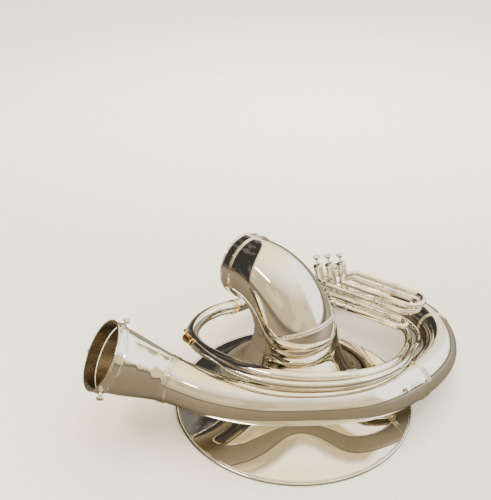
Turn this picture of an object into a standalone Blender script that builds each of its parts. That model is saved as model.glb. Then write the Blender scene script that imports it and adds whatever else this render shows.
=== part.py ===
"""Silver-plated three-valve sousaphone, taken apart as it is stowed.

The bell section stands on its rim and the coiled horn body lies round its throat. Metres, +Z up.
The design is laid out from the bell's axis, at floor height. At the end the whole assembly is moved
so that the frame's origin is on the floor under the middle of its overall box.
"""

import math

import bpy
import numpy as np
from mathutils import Matrix, Vector

OBJECT_NAME = "sousaphone"

# --- clearances -------------------------------------------------------------------------------
GAP = 0.0004          # between neighbouring pieces that touch
SLEEVE_GAP = 0.0014   # round a bent tube, inside its ferrule
SLIDE_GAP = 0.0003    # round a slide's inner leg
CUT_LAND = 0.005      # straight stretch on each side of a joint between tubes
CUT_LAND_SHARE = 0.12 # the same for a wide tube, as a share of its radius

# --- bell section -----------------------------------------------------------------------------
BELL_RIM_R = 0.325
BELL_BEAD_R = 0.0042
BELL_LIP = 2 * BELL_BEAD_R + 2 * GAP   # rim plane to the flare's lower edge
BELL_HEIGHT = 0.208        # rim plane to where the neck starts to bend
BELL_THROAT_R = 0.112
BELL_FLARE_POWER = 0.62    # horn exponent of the flare
BELL_WALL = 0.0009
NECK_LAND = 0.005          # straight stretch before the bend
NECK_BEND_R = 0.145
NECK_HEADING = 135.5       # plan angle that the tenon points to, degrees
NECK_RING_ANGLE = 18.0     # where the bell joins the neck, degrees round the bend
TENON_R = 0.0850
TENON_LENGTH = 0.034
NECK_LENGTH = NECK_BEND_R + 0.016 + TENON_LENGTH   # bell axis to the tenon's mouth
TENON_RING_H, TENON_STOP_H = 0.0018, 0.0042   # mouth ring, and the shoulder it stops at
TENON_CLEARANCE = 0.0004                      # tenon's ring in the receiver
FERRULE_WALL = 0.0020
RIDGE_H = 0.0012

# --- horn body: big outer branch, as x, y, z and outer radius ---------------------------------
BODY_WALL = 0.0009
RECEIVER_R = TENON_R + TENON_RING_H + TENON_CLEARANCE + BODY_WALL
OUTER_BRANCH = [
    (-0.491, -0.133, 0.250, RECEIVER_R),
    (-0.459, -0.124, 0.229, 0.0850),
    (-0.424, -0.117, 0.207, 0.0795),
    (-0.375, -0.113, 0.182, 0.0690),
    (-0.318, -0.121, 0.162, 0.0590),
    (-0.218, -0.162, 0.149, 0.0560),
    (-0.121, -0.190, 0.148, 0.0545),
    (-0.035, -0.1965, 0.1475, 0.0530),
    (0.102, -0.187, 0.1445, 0.0520),
    (0.196, -0.157, 0.136, 0.0510),
    (0.298, -0.077, 0.117, 0.0495),
    (0.388, 0.038, 0.094, 0.0485),
    (0.430, 0.145, 0.076, 0.0470),
    (0.438, 0.254, 0.060, 0.0450),
    (0.412, 0.351, 0.0480, 0.0430),
    (0.335, 0.430, 0.0408, 0.0400),
    (0.200, 0.490, 0.0370, 0.0355),
    (0.060, 0.490, 0.0420, 0.0300),
    (-0.035, 0.450, 0.0560, 0.0255),
    (-0.104, 0.392, 0.0750, 0.0220),
    (-0.158, 0.332, 0.0920, 0.0205),
]
COLLAR_LENGTH = 0.032
OUTER_CUTS = (COLLAR_LENGTH, 0.190, 0.880, 1.250)   # distance from the mouth to each joint
COLLAR_WALL = 0.0030

# --- horn body: thin inner branch -------------------------------------------------------------
INNER_BRANCH = [
    (-0.158, 0.332, 0.0920, 0.0195),
    (-0.222, 0.262, 0.118, 0.0188),
    (-0.266, 0.170, 0.144, 0.0180),
    (-0.278, 0.065, 0.169, 0.0172),
    (-0.243, -0.033, 0.193, 0.0168),
    (-0.171, -0.118, 0.214, 0.0165),
    (-0.092, -0.172, 0.226, 0.0160),
    (0.000, -0.196, 0.229, 0.0152),
    (0.110, -0.184, 0.223, 0.0140),
    (0.200, -0.136, 0.206, 0.0120),
    (0.262, -0.062, 0.180, 0.0105),
    (0.308, 0.046, 0.136, 0.0097),
    (0.336, 0.138, 0.098, 0.0095),
    (0.345, 0.215, 0.078, 0.0095),
    (0.318, 0.268, 0.075, 0.0095),
    (0.272, 0.303, 0.075, 0.0095),
    (0.170, 0.376, 0.075, 0.0095),
]
INNER_CUTS = (0.022, 0.860)      # distance from the back bow to each ferrule

# --- horn body: mouthpipe ---------------------------------------------------------------------
PIPE_R = 0.0085
MOUTHPIPE = [
    (-0.262, -0.052, 0.222),
    (-0.226, -0.108, 0.230),
    (-0.162, -0.172, 0.233),
    (-0.090, -0.214, 0.235),
    (-0.002, -0.232, 0.235),
    (0.106, -0.219, 0.229),
    (0.205, -0.166, 0.214),
    (0.276, -0.081, 0.186),
    (0.328, 0.040, 0.146),
    (0.358, 0.115, 0.108),
    (0.376, 0.205, 0.080),
    (0.350, 0.272, 0.078),
    (0.290, 0.320, 0.081),
    (0.222, 0.369, 0.090),
]
PIPE_SOCKET_LENGTH = 0.050
PIPE_SOCKET_WALL = 0.0022

# --- valves -----------------------------------------------------------------------------------
VALVE_PITCH = 0.0365
VALVE_AXIS = Vector((-0.205, 0.035, 0.978)).normalized()
VALVE_ROW = Vector((0.170, 0.985, 0.0)).cross(VALVE_AXIS).normalized()
VALVE_MIDDLE = Vector((0.144, 0.4215, 0.125))    # middle valve, half way up its casing
CASING_R, CASING_WALL, CASING_LENGTH = 0.0135, 0.0011, 0.116
CAP_R, TOP_CAP_H, BOTTOM_CAP_H = 0.0150, 0.009, 0.010
STEM_R, STEM_HOLE_R = 0.0026, 0.0044
PISTON_CLEARANCE, PISTON_LENGTH = 0.0003, 0.064
VALVE_TRAVEL = 0.018
BUTTON_R, BUTTON_H, BUTTON_LIFT = 0.0110, 0.0040, 0.0235
SPRING_R, SPRING_WIRE_R, SPRING_TURNS = 0.0080, 0.0007, 5
KNUCKLE_R = 0.0085
PORT_GAP = 0.0022          # casing to the middle of a tube's square end

# --- slides: s runs out along the slides, n across them ---------------------------------------
SLIDE_OUT = Vector((0.806, -0.592, 0.0)).normalized()
SLIDE_ACROSS = Vector((0.592, 0.806, 0.0)).normalized()
LEG_WALL = 0.0010
LEG_OVERLAP = 0.075                     # how far a crook's legs run back inside the outer ones
SIDE_R, SIDE_FAR, SIDE_LEG_END = 0.0085, 0.470, 0.060
FIRST_Z, FIRST_NEAR = 0.155, 0.395
THIRD_Z, THIRD_NEAR = 0.131, 0.390
MAIN_Z, MAIN_NEAR, MAIN_FAR, MAIN_R = 0.105, 0.348, 0.388, 0.0092
MAIN_START, MAIN_LEG_END = -0.070, 0.085
SECOND_Z, SECOND_R, SECOND_HALF, SECOND_LEG = 0.156, 0.0070, 0.0098, 0.043

# --- small fittings ---------------------------------------------------------------------------
SCREW_SHANK_R, SCREW_HEAD_R, SCREW_COUNT = 0.0030, 0.0085, 3
RING_R, RING_WIRE_R = 0.0125, 0.0018
BRACE_R, BRACE_S, RING_S = 0.0022, 0.030, -0.010
KEY_BEFORE_JOINT = 0.060                # the water key's pin lies this far before the right ferrule
KEY_FACING = Vector((0.10, -0.80, 0.60))
KEY_ARM, KEY_WIDTH, KEY_THICKNESS = 0.034, 0.0050, 0.0022
KEY_PAD_R, KEY_LIFT = 0.0070, 0.0060

SIDES_BIG, SIDES_MID, SIDES_SMALL = 22, 12, 10


# --- scene and finishes -----------------------------------------------------------------------
def clear_scene():
    """Empty the file of objects, so that the script can be run again."""
    for old in list(bpy.data.objects):
        bpy.data.objects.remove(old, do_unlink=True)


def finish_of(name, colour, roughness, metallic):
    """A Principled material with one colour."""
    made = bpy.data.materials.new(name)
    made.use_nodes = True
    shader = made.node_tree.nodes["Principled BSDF"]
    shader.inputs["Base Color"].default_value = (*colour, 1.0)
    shader.inputs["Roughness"].default_value = roughness
    shader.inputs["Metallic"].default_value = metallic
    return made


clear_scene()
PARTS = bpy.data.collections.new(OBJECT_NAME)
bpy.context.scene.collection.children.link(PARTS)
SILVER = finish_of("silver_plate", (0.86, 0.85, 0.80), 0.12, 1.0)
BRASS = finish_of("lacquered_brass", (0.80, 0.60, 0.28), 0.22, 1.0)
STEEL = finish_of("spring_steel", (0.55, 0.55, 0.56), 0.30, 1.0)


def frame_empty(name, place, parent=None):
    """An empty that carries one moving group; its place is a point on the joint's axis."""
    empty = bpy.data.objects.new(name, None)
    PARTS.objects.link(empty)
    empty.location = place
    if parent:
        hang(empty, parent)
    return empty


def hang(child, parent):
    """Parent one object to an unturned empty, keeping its place in the design frame."""
    child.parent = parent
    child.matrix_parent_inverse = Matrix.Translation(-origin_of(parent))


def origin_of(empty):
    """An unturned empty's origin in the design frame."""
    return Vector(empty.location)


# --- shapes -----------------------------------------------------------------------------------
def smooth_route(stations, spacing, cuts=()):
    """Points on a Catmull-Rom curve through the stations, and the rows where it is cut.

    Each cut lies in the middle of a short straight stretch, so that the tubes on both sides of it
    end in parallel planes.
    """
    rows = np.array([list(row) for row in stations], float)
    land = max(CUT_LAND, CUT_LAND_SHARE * rows[:, -1].max())
    ends = np.vstack([2 * rows[0] - rows[1], rows, 2 * rows[-1] - rows[-2]])
    t = np.linspace(0.0, 1.0, 24, endpoint=False)[:, None]
    fine = []
    for a, b, c, d in zip(ends, ends[1:], ends[2:], ends[3:]):
        fine.append(0.5 * (2 * b + (c - a) * t + (2 * a - 5 * b + 4 * c - d) * t**2
                           + (3 * b - a - 3 * c + d) * t**3))
    fine = np.vstack(fine + [rows[-1:]])
    along = distances(fine)
    marks = [0.0, *cuts, along[-1]]
    places, cut_rows = [], []
    for k, (low, high) in enumerate(zip(marks, marks[1:])):
        low, high = low + (land if k else 0.0), high - (land if k < len(cuts) else 0.0)
        places += list(np.linspace(low, high, max(2, int(round((high - low) / spacing)) + 1)))
        if k < len(cuts):
            cut_rows.append(len(places))
            places.append(marks[k + 1])
    route = np.stack([np.interp(places, along, fine[:, k]) for k in range(fine.shape[1])], axis=1)
    for row in cut_rows:
        route[row] = (route[row - 1] + route[row + 1]) / 2
    return route, cut_rows


def distances(route):
    """Distance along a polyline at each of its points."""
    return np.concatenate([[0.0], np.cumsum(np.linalg.norm(np.diff(route[:, :3], axis=0), axis=1))])


def section(route, first, last, start_gap=GAP / 2, end_gap=GAP / 2):
    """Rows first to last of a route, drawn back by a gap at each end."""
    rows = route[first:last + 1].copy()
    rows[0] += (rows[1] - rows[0]) * start_gap / np.linalg.norm(rows[1, :3] - rows[0, :3])
    rows[-1] += (rows[-2] - rows[-1]) * end_gap / np.linalg.norm(rows[-2, :3] - rows[-1, :3])
    return rows


def swept(name, route, sides, material, parent, wall=None):
    """A round tube along a route of x, y, z and outer radius: solid, or hollow with a wall."""
    curve = bpy.data.curves.new(name, "CURVE")
    curve.dimensions = "3D"
    curve.bevel_depth = 1.0
    curve.bevel_resolution = (sides - 4) // 2
    curve.use_fill_caps = wall is None
    line = curve.splines.new("POLY")
    line.points.add(len(route) - 1)
    for point, (x, y, z, radius) in zip(line.points, route):
        point.co = (x, y, z, 1.0)
        point.radius = radius
    line.use_smooth = True
    made = bpy.data.objects.new(name, curve)
    curve.materials.append(material)
    PARTS.objects.link(made)
    hang(made, parent)
    if wall:
        shell = made.modifiers.new("wall", "SOLIDIFY")
        shell.thickness = wall
        shell.offset = -1.0
    return made


def ring_mesh(name, profile, closed):
    """A mesh holding a profile of radius and height, ready for a Screw modifier."""
    mesh = bpy.data.meshes.new(name)
    points = [(radius, 0.0, height) for radius, height in profile]
    edges = [(i, i + 1) for i in range(len(points) - 1)]
    if closed:
        edges.append((len(points) - 1, 0))
    mesh.from_pydata(points, edges, [])
    return mesh


def turned(name, profile, place, axis, steps, material, parent, closed=True):
    """A turned piece: the profile runs down its outer side, and goes round an axis from a place."""
    made = bpy.data.objects.new(name, ring_mesh(name, profile, closed))
    made.data.materials.append(material)
    PARTS.objects.link(made)
    made.location = place
    made.rotation_euler = Vector(axis).to_track_quat("Z", "Y").to_euler()
    hang(made, parent)
    turn = made.modifiers.new("turn", "SCREW")
    turn.steps = turn.render_steps = steps
    turn.use_merge_vertices = True
    turn.merge_threshold = 0.00002
    turn.use_smooth_shade = True
    return made


def washer(outer, inner, top, bottom):
    """Profile of a plain ring."""
    return [(outer, top), (outer, bottom), (inner, bottom), (inner, top)]


def sleeve(name, route, row, length, material, parent, wall=FERRULE_WALL, ridges=0, sides=SIDES_BIG):
    """A ferrule round a bent tube at one of its rows, plain or ridged, clear of the tube's facets."""
    along = distances(route)
    low, high = along[row] - length / 2, along[row] + length / 2
    share = np.linspace(low, high, 2 * ridges + 3)
    rows = np.stack([np.interp(share, along, route[:, k]) for k in range(4)], axis=1)
    base = (rows[:, 3].max() + SLEEVE_GAP) / math.cos(math.pi / sides) + wall
    rows[:, 3] = base
    if ridges:
        rows[2:-1:2, 3] = base + RIDGE_H
    return swept(name, rows, sides, material, parent, wall=wall)


def constant(points, radius):
    """Stations of one radius."""
    return [(*point, radius) for point in points]


def straight(start, end, radius):
    """A two-point route."""
    return np.array([(*start, radius), (*end, radius)])


def slide_point(s, n, z):
    """A point in the slides' own directions."""
    return SLIDE_OUT * s + SLIDE_ACROSS * n + Vector((0.0, 0.0, z))


# --- bell section -----------------------------------------------------------------------------
def flare_radius(height):
    """Horn law: the radius falls as a power of the height above the rolled rim."""
    lip_r = BELL_RIM_R - 2 * BELL_BEAD_R + BELL_WALL / 2
    start = (BELL_HEIGHT - BELL_LIP) / ((lip_r / BELL_THROAT_R) ** (1.0 / BELL_FLARE_POWER) - 1.0)
    return lip_r * (start / (start + height - BELL_LIP)) ** BELL_FLARE_POWER


def neck_route():
    """Centreline of the neck, bending from straight up to level, and its rows at the two joints."""
    heading = Vector((math.cos(math.radians(NECK_HEADING)), math.sin(math.radians(NECK_HEADING)), 0.0))
    stations = [(0.0, 0.0, BELL_HEIGHT, BELL_THROAT_R)]
    for angle in np.linspace(0.0, 90.0, 13):
        bend = math.radians(angle)
        point = heading * NECK_BEND_R * (1.0 - math.cos(bend))
        point.z = BELL_HEIGHT + NECK_LAND + NECK_BEND_R * math.sin(bend)
        radius = BELL_THROAT_R + (TENON_R - BELL_THROAT_R) * (angle / 90.0) ** 0.9
        stations.append((*point, radius))
    end = heading * NECK_LENGTH
    stations.append((end.x, end.y, BELL_HEIGHT + NECK_LAND + NECK_BEND_R, TENON_R))
    total = NECK_LAND + NECK_BEND_R * math.pi / 2 + NECK_LENGTH - NECK_BEND_R
    ring = NECK_LAND + math.radians(NECK_RING_ANGLE) * NECK_BEND_R
    route, (ring_row, shoulder_row) = smooth_route(stations, 0.021, (ring, total - TENON_LENGTH))
    above = route[0] + np.array([0.0, 0.0, NECK_LAND, 0.0])
    return np.vstack([route[:1], above, route[1:]]), (ring_row + 1, shoulder_row + 1)


def ringed_tenon(route):
    """The tenon's route with a raised stop at its shoulder and a lower ring at its mouth."""
    stop, raised = TENON_R + TENON_STOP_H, TENON_R + TENON_RING_H
    start, end = route[0, :3], route[-1, :3]
    outline = [(0.0, TENON_R), (0.03, stop), (0.10, stop), (0.11, TENON_R), (0.84, TENON_R), (0.85, raised), (1.0, raised)]
    return np.array([(*(start + (end - start) * share), radius) for share, radius in outline])


def build_bell(bell):
    """Bell flare, its rolled rim, the joint ring, the neck and the tenon with its end ring."""
    heights = [BELL_LIP + (BELL_HEIGHT - BELL_LIP) * (k / 9.0) ** 1.7 for k in range(10)]
    outer = [(flare_radius(h), h) for h in reversed(heights)]
    inner = [(r - BELL_WALL, h - BELL_WALL * 0.2) for r, h in reversed(outer)]
    turned("bell_flare", outer + inner, (0, 0, 0), (0, 0, 1), 40, SILVER, bell)

    centre = BELL_RIM_R - BELL_BEAD_R
    angles = [math.radians(a) for a in (90, 45, 0, -45)]
    bead = [(centre + BELL_BEAD_R * math.cos(a), BELL_BEAD_R * (1 + math.sin(a))) for a in angles]
    bead += [(centre + BELL_BEAD_R * 0.4, 0.0), (centre - BELL_BEAD_R * 1.8, 0.0)]
    bead += [(centre - BELL_BEAD_R * 2.0, BELL_BEAD_R), (centre - BELL_BEAD_R * 1.4, 2 * BELL_BEAD_R)]
    turned("bell_rim_bead", bead, (0, 0, 0), (0, 0, 1), 40, SILVER, bell)

    route, (ring, shoulder) = neck_route()
    sides = SIDES_BIG + 2
    swept("neck_socket", section(route, 0, ring, GAP), sides, SILVER, bell, BELL_WALL)
    swept("bell_neck", section(route, ring, shoulder), sides, SILVER, bell, BELL_WALL)
    tenon = ringed_tenon(section(route, shoulder, len(route) - 1, end_gap=0.0))
    swept("bell_tenon", tenon, sides, SILVER, bell, BELL_WALL * 1.6)
    sleeve("neck_joint_ring", route, ring, 0.006, SILVER, bell, 0.0024, sides=sides)


# --- horn body: the big branch ----------------------------------------------------------------
def build_outer_branch(body):
    """Receiver, outer branch in three tubes, their ferrules and the receiver's collar."""
    route, cuts = smooth_route(OUTER_BRANCH, 0.043, OUTER_CUTS)
    collar, neck, front, right = cuts
    last = len(route) - 1
    swept("bell_receiver", section(route, collar, neck), SIDES_BIG + 4, SILVER, body, BODY_WALL)
    swept("outer_branch_front", section(route, neck, front), SIDES_BIG, SILVER, body, BODY_WALL)
    swept("outer_branch_right", section(route, front, right), SIDES_BIG, SILVER, body, BODY_WALL)
    swept("outer_branch_rear", section(route, right, last), SIDES_BIG - 4, SILVER, body, BODY_WALL)
    sleeve("receiver_ferrule", route, neck, 0.026, SILVER, body, ridges=3)
    sleeve("right_ferrule", route, front, 0.018, SILVER, body, ridges=2)

    mouth = Vector(route[0, :3])
    outward = (mouth - Vector(route[1, :3])).normalized()
    radius = RECEIVER_R
    bead = [(radius + COLLAR_WALL, 0.0), (radius + COLLAR_WALL + 0.0016, -0.003),
            (radius + COLLAR_WALL, -0.006), (radius + COLLAR_WALL, GAP - COLLAR_LENGTH),
            (radius - BODY_WALL, GAP - COLLAR_LENGTH), (radius - BODY_WALL, 0.0)]
    turned("receiver_collar", bead, mouth, outward, 30, SILVER, body)
    return route, front, mouth, outward


def build_clamp_screws(body, mouth, outward):
    """Three thumbscrews round the collar, which clamp the bell's tenon in it."""
    side = outward.cross(Vector((0, 0, 1))).normalized()
    up = side.cross(outward).normalized()
    if up.z < 0:
        up = -up
    surface = RECEIVER_R + COLLAR_WALL
    middle = mouth - outward * COLLAR_LENGTH * 0.45
    for index in range(SCREW_COUNT):
        angle = math.radians(90.0 + 360.0 / SCREW_COUNT * index)
        radial = (side * math.cos(angle) + up * math.sin(angle)).normalized()
        foot = middle + radial * surface
        pivot = frame_empty(f"collar_screw_{index + 1}_axis", foot, body)
        profile = [(0.0, 0.0250), (SCREW_HEAD_R, 0.0245), (SCREW_HEAD_R, 0.0195),
                   (0.0045, 0.0180), (0.0045, 0.0080), (SCREW_SHANK_R, 0.0065),
                   (SCREW_SHANK_R, GAP), (0.0, GAP)]
        turned(f"collar_screw_{index + 1}", profile, foot, radial, 14, SILVER, pivot, closed=False)


# --- horn body: inner branch and mouthpipe ----------------------------------------------------
def build_inner_branch(body):
    """Inner branch in two tubes from the back bow to the crook, with its ferrules."""
    route, (back, front) = smooth_route(INNER_BRANCH, 0.031, INNER_CUTS)
    swept("inner_branch_left", section(route, 0, front, 0.003), SIDES_SMALL, SILVER, body, BODY_WALL)
    swept("inner_branch_right", section(route, front, len(route) - 1), SIDES_SMALL, SILVER, body, BODY_WALL)
    sleeve("inner_back_ferrule", route, back, 0.022, BRASS, body, 0.0016, 3, SIDES_MID)
    sleeve("inner_front_ferrule", route, front, 0.030, SILVER, body, 0.0014, 4, SIDES_MID)
    return route


def build_mouthpipe(body):
    """Mouthpipe from its socket to the first valve, and the socket with its clamp screw."""
    s, n = valve_at(1, MOUTHPIPE[-1][2])
    port = slide_point(s, n, MOUTHPIPE[-1][2])
    end = port - (port - Vector(MOUTHPIPE[-1])).normalized() * (CASING_R + PORT_GAP)
    route, _ = smooth_route(constant(MOUTHPIPE + [tuple(end)], PIPE_R), 0.040)
    swept("mouthpipe", route, 8, SILVER, body, LEG_WALL)
    start = Vector(route[0, :3])
    back = (start - Vector(route[1, :3])).normalized()
    bore = PIPE_R - LEG_WALL + 0.0006
    wall = PIPE_SOCKET_WALL
    profile = [(bore + wall * 1.6, PIPE_SOCKET_LENGTH), (bore + wall * 1.6, PIPE_SOCKET_LENGTH - 0.008),
               (bore + wall, PIPE_SOCKET_LENGTH - 0.010), (bore + wall, 0.0), (bore, 0.0),
               (bore, PIPE_SOCKET_LENGTH)]
    turned("mouthpipe_socket", profile, start + back * GAP, back, 16, BRASS, body)
    screw_foot = start + back * (PIPE_SOCKET_LENGTH - 0.004)
    out = back.cross(Vector((0, 0, 1))).cross(back).normalized()
    out = out if out.z > 0 else -out
    foot = screw_foot + out * (bore + wall * 1.6 + GAP)
    pivot = frame_empty("socket_screw_axis", foot, body)
    knob = [(0.0, 0.0130), (0.0060, 0.0125), (0.0060, 0.0080), (0.0022, 0.0065), (0.0022, 0.0002), (0.0, 0.0002)]
    turned("socket_screw", knob, foot, out, 12, BRASS, pivot, closed=False)
    return route


# --- valves -----------------------------------------------------------------------------------
def valve_centre(index):
    """Half way up casing 1, 2 or 3; the first valve is the one nearest the slides."""
    return VALVE_MIDDLE + VALVE_ROW * VALVE_PITCH * (2 - index)


def build_valve(index, body):
    """Casing, caps, spring, and the piston with its stem and finger button on one slide."""
    centre = valve_centre(index)
    top = centre + VALVE_AXIS * CASING_LENGTH / 2
    name = f"valve_{index}"
    bore = CASING_R - CASING_WALL
    turned(f"{name}_casing", washer(CASING_R, bore, 0.0, -CASING_LENGTH), top, VALVE_AXIS, 20, SILVER, body)
    cap = [(STEM_HOLE_R + 0.003, TOP_CAP_H), (CAP_R - 0.002, TOP_CAP_H * 0.7), (CAP_R, TOP_CAP_H * 0.5),
           (CAP_R, GAP), (STEM_HOLE_R, GAP), (STEM_HOLE_R, TOP_CAP_H)]
    turned(f"{name}_top_cap", cap, top, VALVE_AXIS, 20, SILVER, body)
    bottom = top - VALVE_AXIS * CASING_LENGTH
    cap = [(CAP_R, -GAP), (CAP_R, -BOTTOM_CAP_H * 0.6), (CAP_R * 0.72, -BOTTOM_CAP_H),
           (0.0020, -BOTTOM_CAP_H), (0.0020, -GAP)]
    turned(f"{name}_bottom_cap", cap, bottom, VALVE_AXIS, 20, SILVER, body)

    motion = frame_empty(f"{name}_motion", top, body)
    piston_top = -VALVE_TRAVEL * 0.15
    radius = bore - PISTON_CLEARANCE
    lift = TOP_CAP_H + BUTTON_LIFT
    profile = [(0.0, lift), (STEM_R, lift), (STEM_R, piston_top), (radius, piston_top),
               (radius, piston_top - PISTON_LENGTH), (0.0, piston_top - PISTON_LENGTH)]
    turned(f"{name}_piston", profile, top, VALVE_AXIS, 20, SILVER, motion, closed=False)
    button = [(0.0, lift + GAP + BUTTON_H), (BUTTON_R * 0.8, lift + GAP + BUTTON_H),
              (BUTTON_R, lift + GAP + BUTTON_H * 0.6), (BUTTON_R * 0.9, lift + GAP + 0.001),
              (0.0, lift + GAP)]
    turned(f"{name}_button", button, top, VALVE_AXIS, 20, SILVER, motion, closed=False)

    low, high = -CASING_LENGTH + SPRING_WIRE_R + GAP, piston_top - PISTON_LENGTH - SPRING_WIRE_R - GAP
    across = VALVE_AXIS.orthogonal().normalized()
    other = VALVE_AXIS.cross(across)
    rows = []
    for k in range(SPRING_TURNS * 8 + 1):
        angle = 2 * math.pi * k / 8
        height = low + (high - low) * k / (SPRING_TURNS * 8)
        point = top + VALVE_AXIS * height + (across * math.cos(angle) + other * math.sin(angle)) * SPRING_R
        rows.append((*point, SPRING_WIRE_R))
    swept(f"{name}_spring", np.array(rows), 4, STEEL, body)


def valve_at(index, height):
    """Where a casing's axis crosses a height, in the slides' own directions."""
    centre = valve_centre(index)
    point = centre + VALVE_AXIS * (height - centre.z) / VALVE_AXIS.z
    return point.dot(SLIDE_OUT), point.dot(SLIDE_ACROSS)


def build_knuckles(body):
    """Short tubes that carry the wind between neighbouring casings."""
    reach = VALVE_PITCH / 2 - CASING_R - GAP
    for pair, height in ((1, 0.026), (2, 0.010)):
        centre = (valve_centre(pair) + valve_centre(pair + 1)) / 2 + VALVE_AXIS * height
        rows = straight(centre - VALVE_ROW * reach, centre + VALVE_ROW * reach, KNUCKLE_R)
        swept(f"knuckle_{pair}", rows, SIDES_SMALL, SILVER, body)


# --- slides -----------------------------------------------------------------------------------
def build_slide(name, body, leg_r, z, near, far, leg_end, tip, entries):
    """A tuning slide: two fixed outer legs with bent entries, and the crook that pulls out of them."""
    for side, n, entry in (("near", near, entries[0]), ("far", far, entries[1])):
        bend = entry + [(entry[-1][0] + 0.012, n), (entry[-1][0] + 0.024, n)]
        rows, _ = smooth_route(constant([slide_point(s, across, z) for s, across in bend], leg_r), leg_r)
        rows = np.vstack([rows, [(*slide_point(leg_end, n, z), leg_r)]])
        swept(f"{name}_{side}_leg", rows, SIDES_SMALL, SILVER, body, LEG_WALL)
    bow_r = (far - near) / 2
    centre = slide_point(tip - bow_r - leg_r, (near + far) / 2, z)
    build_slide_crook(name, body, leg_r, bow_r, centre, SLIDE_OUT, -SLIDE_ACROSS,
                      leg_end - tip + bow_r + leg_r, LEG_OVERLAP)


def build_slide_crook(name, body, leg_r, bow_r, centre, out, side, leg_end, overlap):
    """The sliding half: a bow about a centre, and two thinner legs that run back inside the outer ones."""
    inner_r = (leg_r - LEG_WALL) * math.cos(math.pi / SIDES_SMALL) - SLIDE_GAP
    motion = frame_empty(f"{name}_motion", centre, body)
    turns = np.linspace(0.0, math.pi, 8)
    bow = [centre + (side * math.cos(a) + out * math.sin(a)) * bow_r for a in turns]
    first, last = centre + side * bow_r, centre - side * bow_r
    steps = ((leg_end - overlap, inner_r), (leg_end + GAP, inner_r), (leg_end + 0.0014, leg_r))
    rows = [(*(first + out * place), radius) for place, radius in steps]
    rows += [(*point, leg_r) for point in bow]
    rows += [(*(last + out * place), radius) for place, radius in reversed(steps)]
    swept(f"{name}_crook", np.array(rows), SIDES_SMALL, SILVER, motion, LEG_WALL)


def build_second_slide(body):
    """The short second-valve slide, behind the middle casing."""
    valve_s, valve_n = valve_at(2, SECOND_Z)
    start, end = valve_n + CASING_R + 0.0055, valve_n + SECOND_LEG
    for side, s in (("left", valve_s - SECOND_HALF), ("right", valve_s + SECOND_HALF)):
        rows = straight(slide_point(s, start, SECOND_Z), slide_point(s, end, SECOND_Z), SECOND_R)
        swept(f"second_slide_{side}_leg", rows, SIDES_SMALL, SILVER, body, LEG_WALL)
    centre = slide_point(valve_s, end + 0.004, SECOND_Z)
    build_slide_crook("second_slide", body, SECOND_R, SECOND_HALF, centre, SLIDE_ACROSS, -SLIDE_OUT,
                      -0.004, SECOND_LEG - CASING_R - 0.008)


def build_slides(body):
    """First, third and main tuning slides, stacked beside the valves, and the second-valve slide."""
    reach = CASING_R + PORT_GAP
    s, n = valve_at(1, FIRST_Z)
    build_slide("first_slide", body, SIDE_R, FIRST_Z, FIRST_NEAR, SIDE_FAR, SIDE_LEG_END, 0.176,
                [[(s + 0.007, n - reach), (s + 0.011, n - reach - 0.010)],
                 [(s + 0.015, n + reach * 0.75), (s + 0.024, SIDE_FAR - 0.004)]])
    s, n = valve_at(3, THIRD_Z)
    build_slide("third_slide", body, SIDE_R, THIRD_Z, THIRD_NEAR, SIDE_FAR, SIDE_LEG_END, 0.166,
                [[(s + 0.013, n - reach), (s + 0.024, n - reach)],
                 [(s + 0.001, n + reach + 0.001), (s + 0.007, n + reach + 0.022), (s + 0.022, SIDE_FAR - 0.004)]])
    s, n = valve_at(3, MAIN_Z)
    build_slide("main_slide", body, MAIN_R, MAIN_Z, MAIN_NEAR, MAIN_FAR, MAIN_LEG_END, 0.158,
                [[(MAIN_START + GAP, MAIN_NEAR), (MAIN_START + 0.010, MAIN_NEAR)],
                 [(s + 0.017, n - reach * 0.8), (s + 0.028, MAIN_FAR + 0.001)]])
    build_second_slide(body)


def build_tuning_crook(body, inner_route):
    """The crook that lifts the inner branch up and back into the main tuning slide."""
    start = Vector(inner_route[-1, :3])
    back = (start - Vector(inner_route[-2, :3])).normalized()
    finish = slide_point(MAIN_START, MAIN_NEAR, MAIN_Z)
    radius = inner_route[-1, 3]
    finish += back * (start - finish).dot(back)
    middle, across = (start + finish) / 2, (start - finish) / 2
    turns = np.linspace(0.0, math.pi, 11)
    bow = [middle + back * CUT_LAND + across * math.cos(a) + back * across.length * math.sin(a) for a in turns]
    leg = slide_point(MAIN_START, MAIN_NEAR, MAIN_Z)
    points = [start, *bow, finish, leg] if (finish - leg).length > GAP else [start, *bow, finish]
    rows = np.array([(*point, radius) for point in points])
    swept("tuning_crook", section(rows, 0, len(rows) - 1), SIDES_SMALL, SILVER, body, LEG_WALL)


# --- small fittings ---------------------------------------------------------------------------
def build_fittings(body):
    """Thumb ring and the brace between the slides."""
    ring_centre = slide_point(RING_S, MAIN_NEAR + RING_R, MAIN_Z + MAIN_R + RING_WIRE_R + GAP)
    ring = bpy.data.curves.new("thumb_ring", "CURVE")
    ring.dimensions = "3D"
    ring.bevel_depth = RING_WIRE_R
    ring.bevel_resolution = 1
    line = ring.splines.new("POLY")
    line.points.add(15)
    for k, point in enumerate(line.points):
        angle = 2 * math.pi * k / 16
        place = ring_centre + (SLIDE_OUT * math.cos(angle) + SLIDE_ACROSS * math.sin(angle)) * RING_R
        point.co = (*place, 1.0)
    line.use_cyclic_u = True
    made = bpy.data.objects.new("thumb_ring", ring)
    ring.materials.append(SILVER)
    PARTS.objects.link(made)
    hang(made, body)

    low = slide_point(BRACE_S, MAIN_NEAR, MAIN_Z)
    high = slide_point(BRACE_S + 0.006, FIRST_NEAR, FIRST_Z)
    rise = (high - low).normalized()
    swept("slide_brace", straight(low + rise * (MAIN_R + GAP), high - rise * (SIDE_R + GAP), BRACE_R),
          8, SILVER, body)


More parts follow.
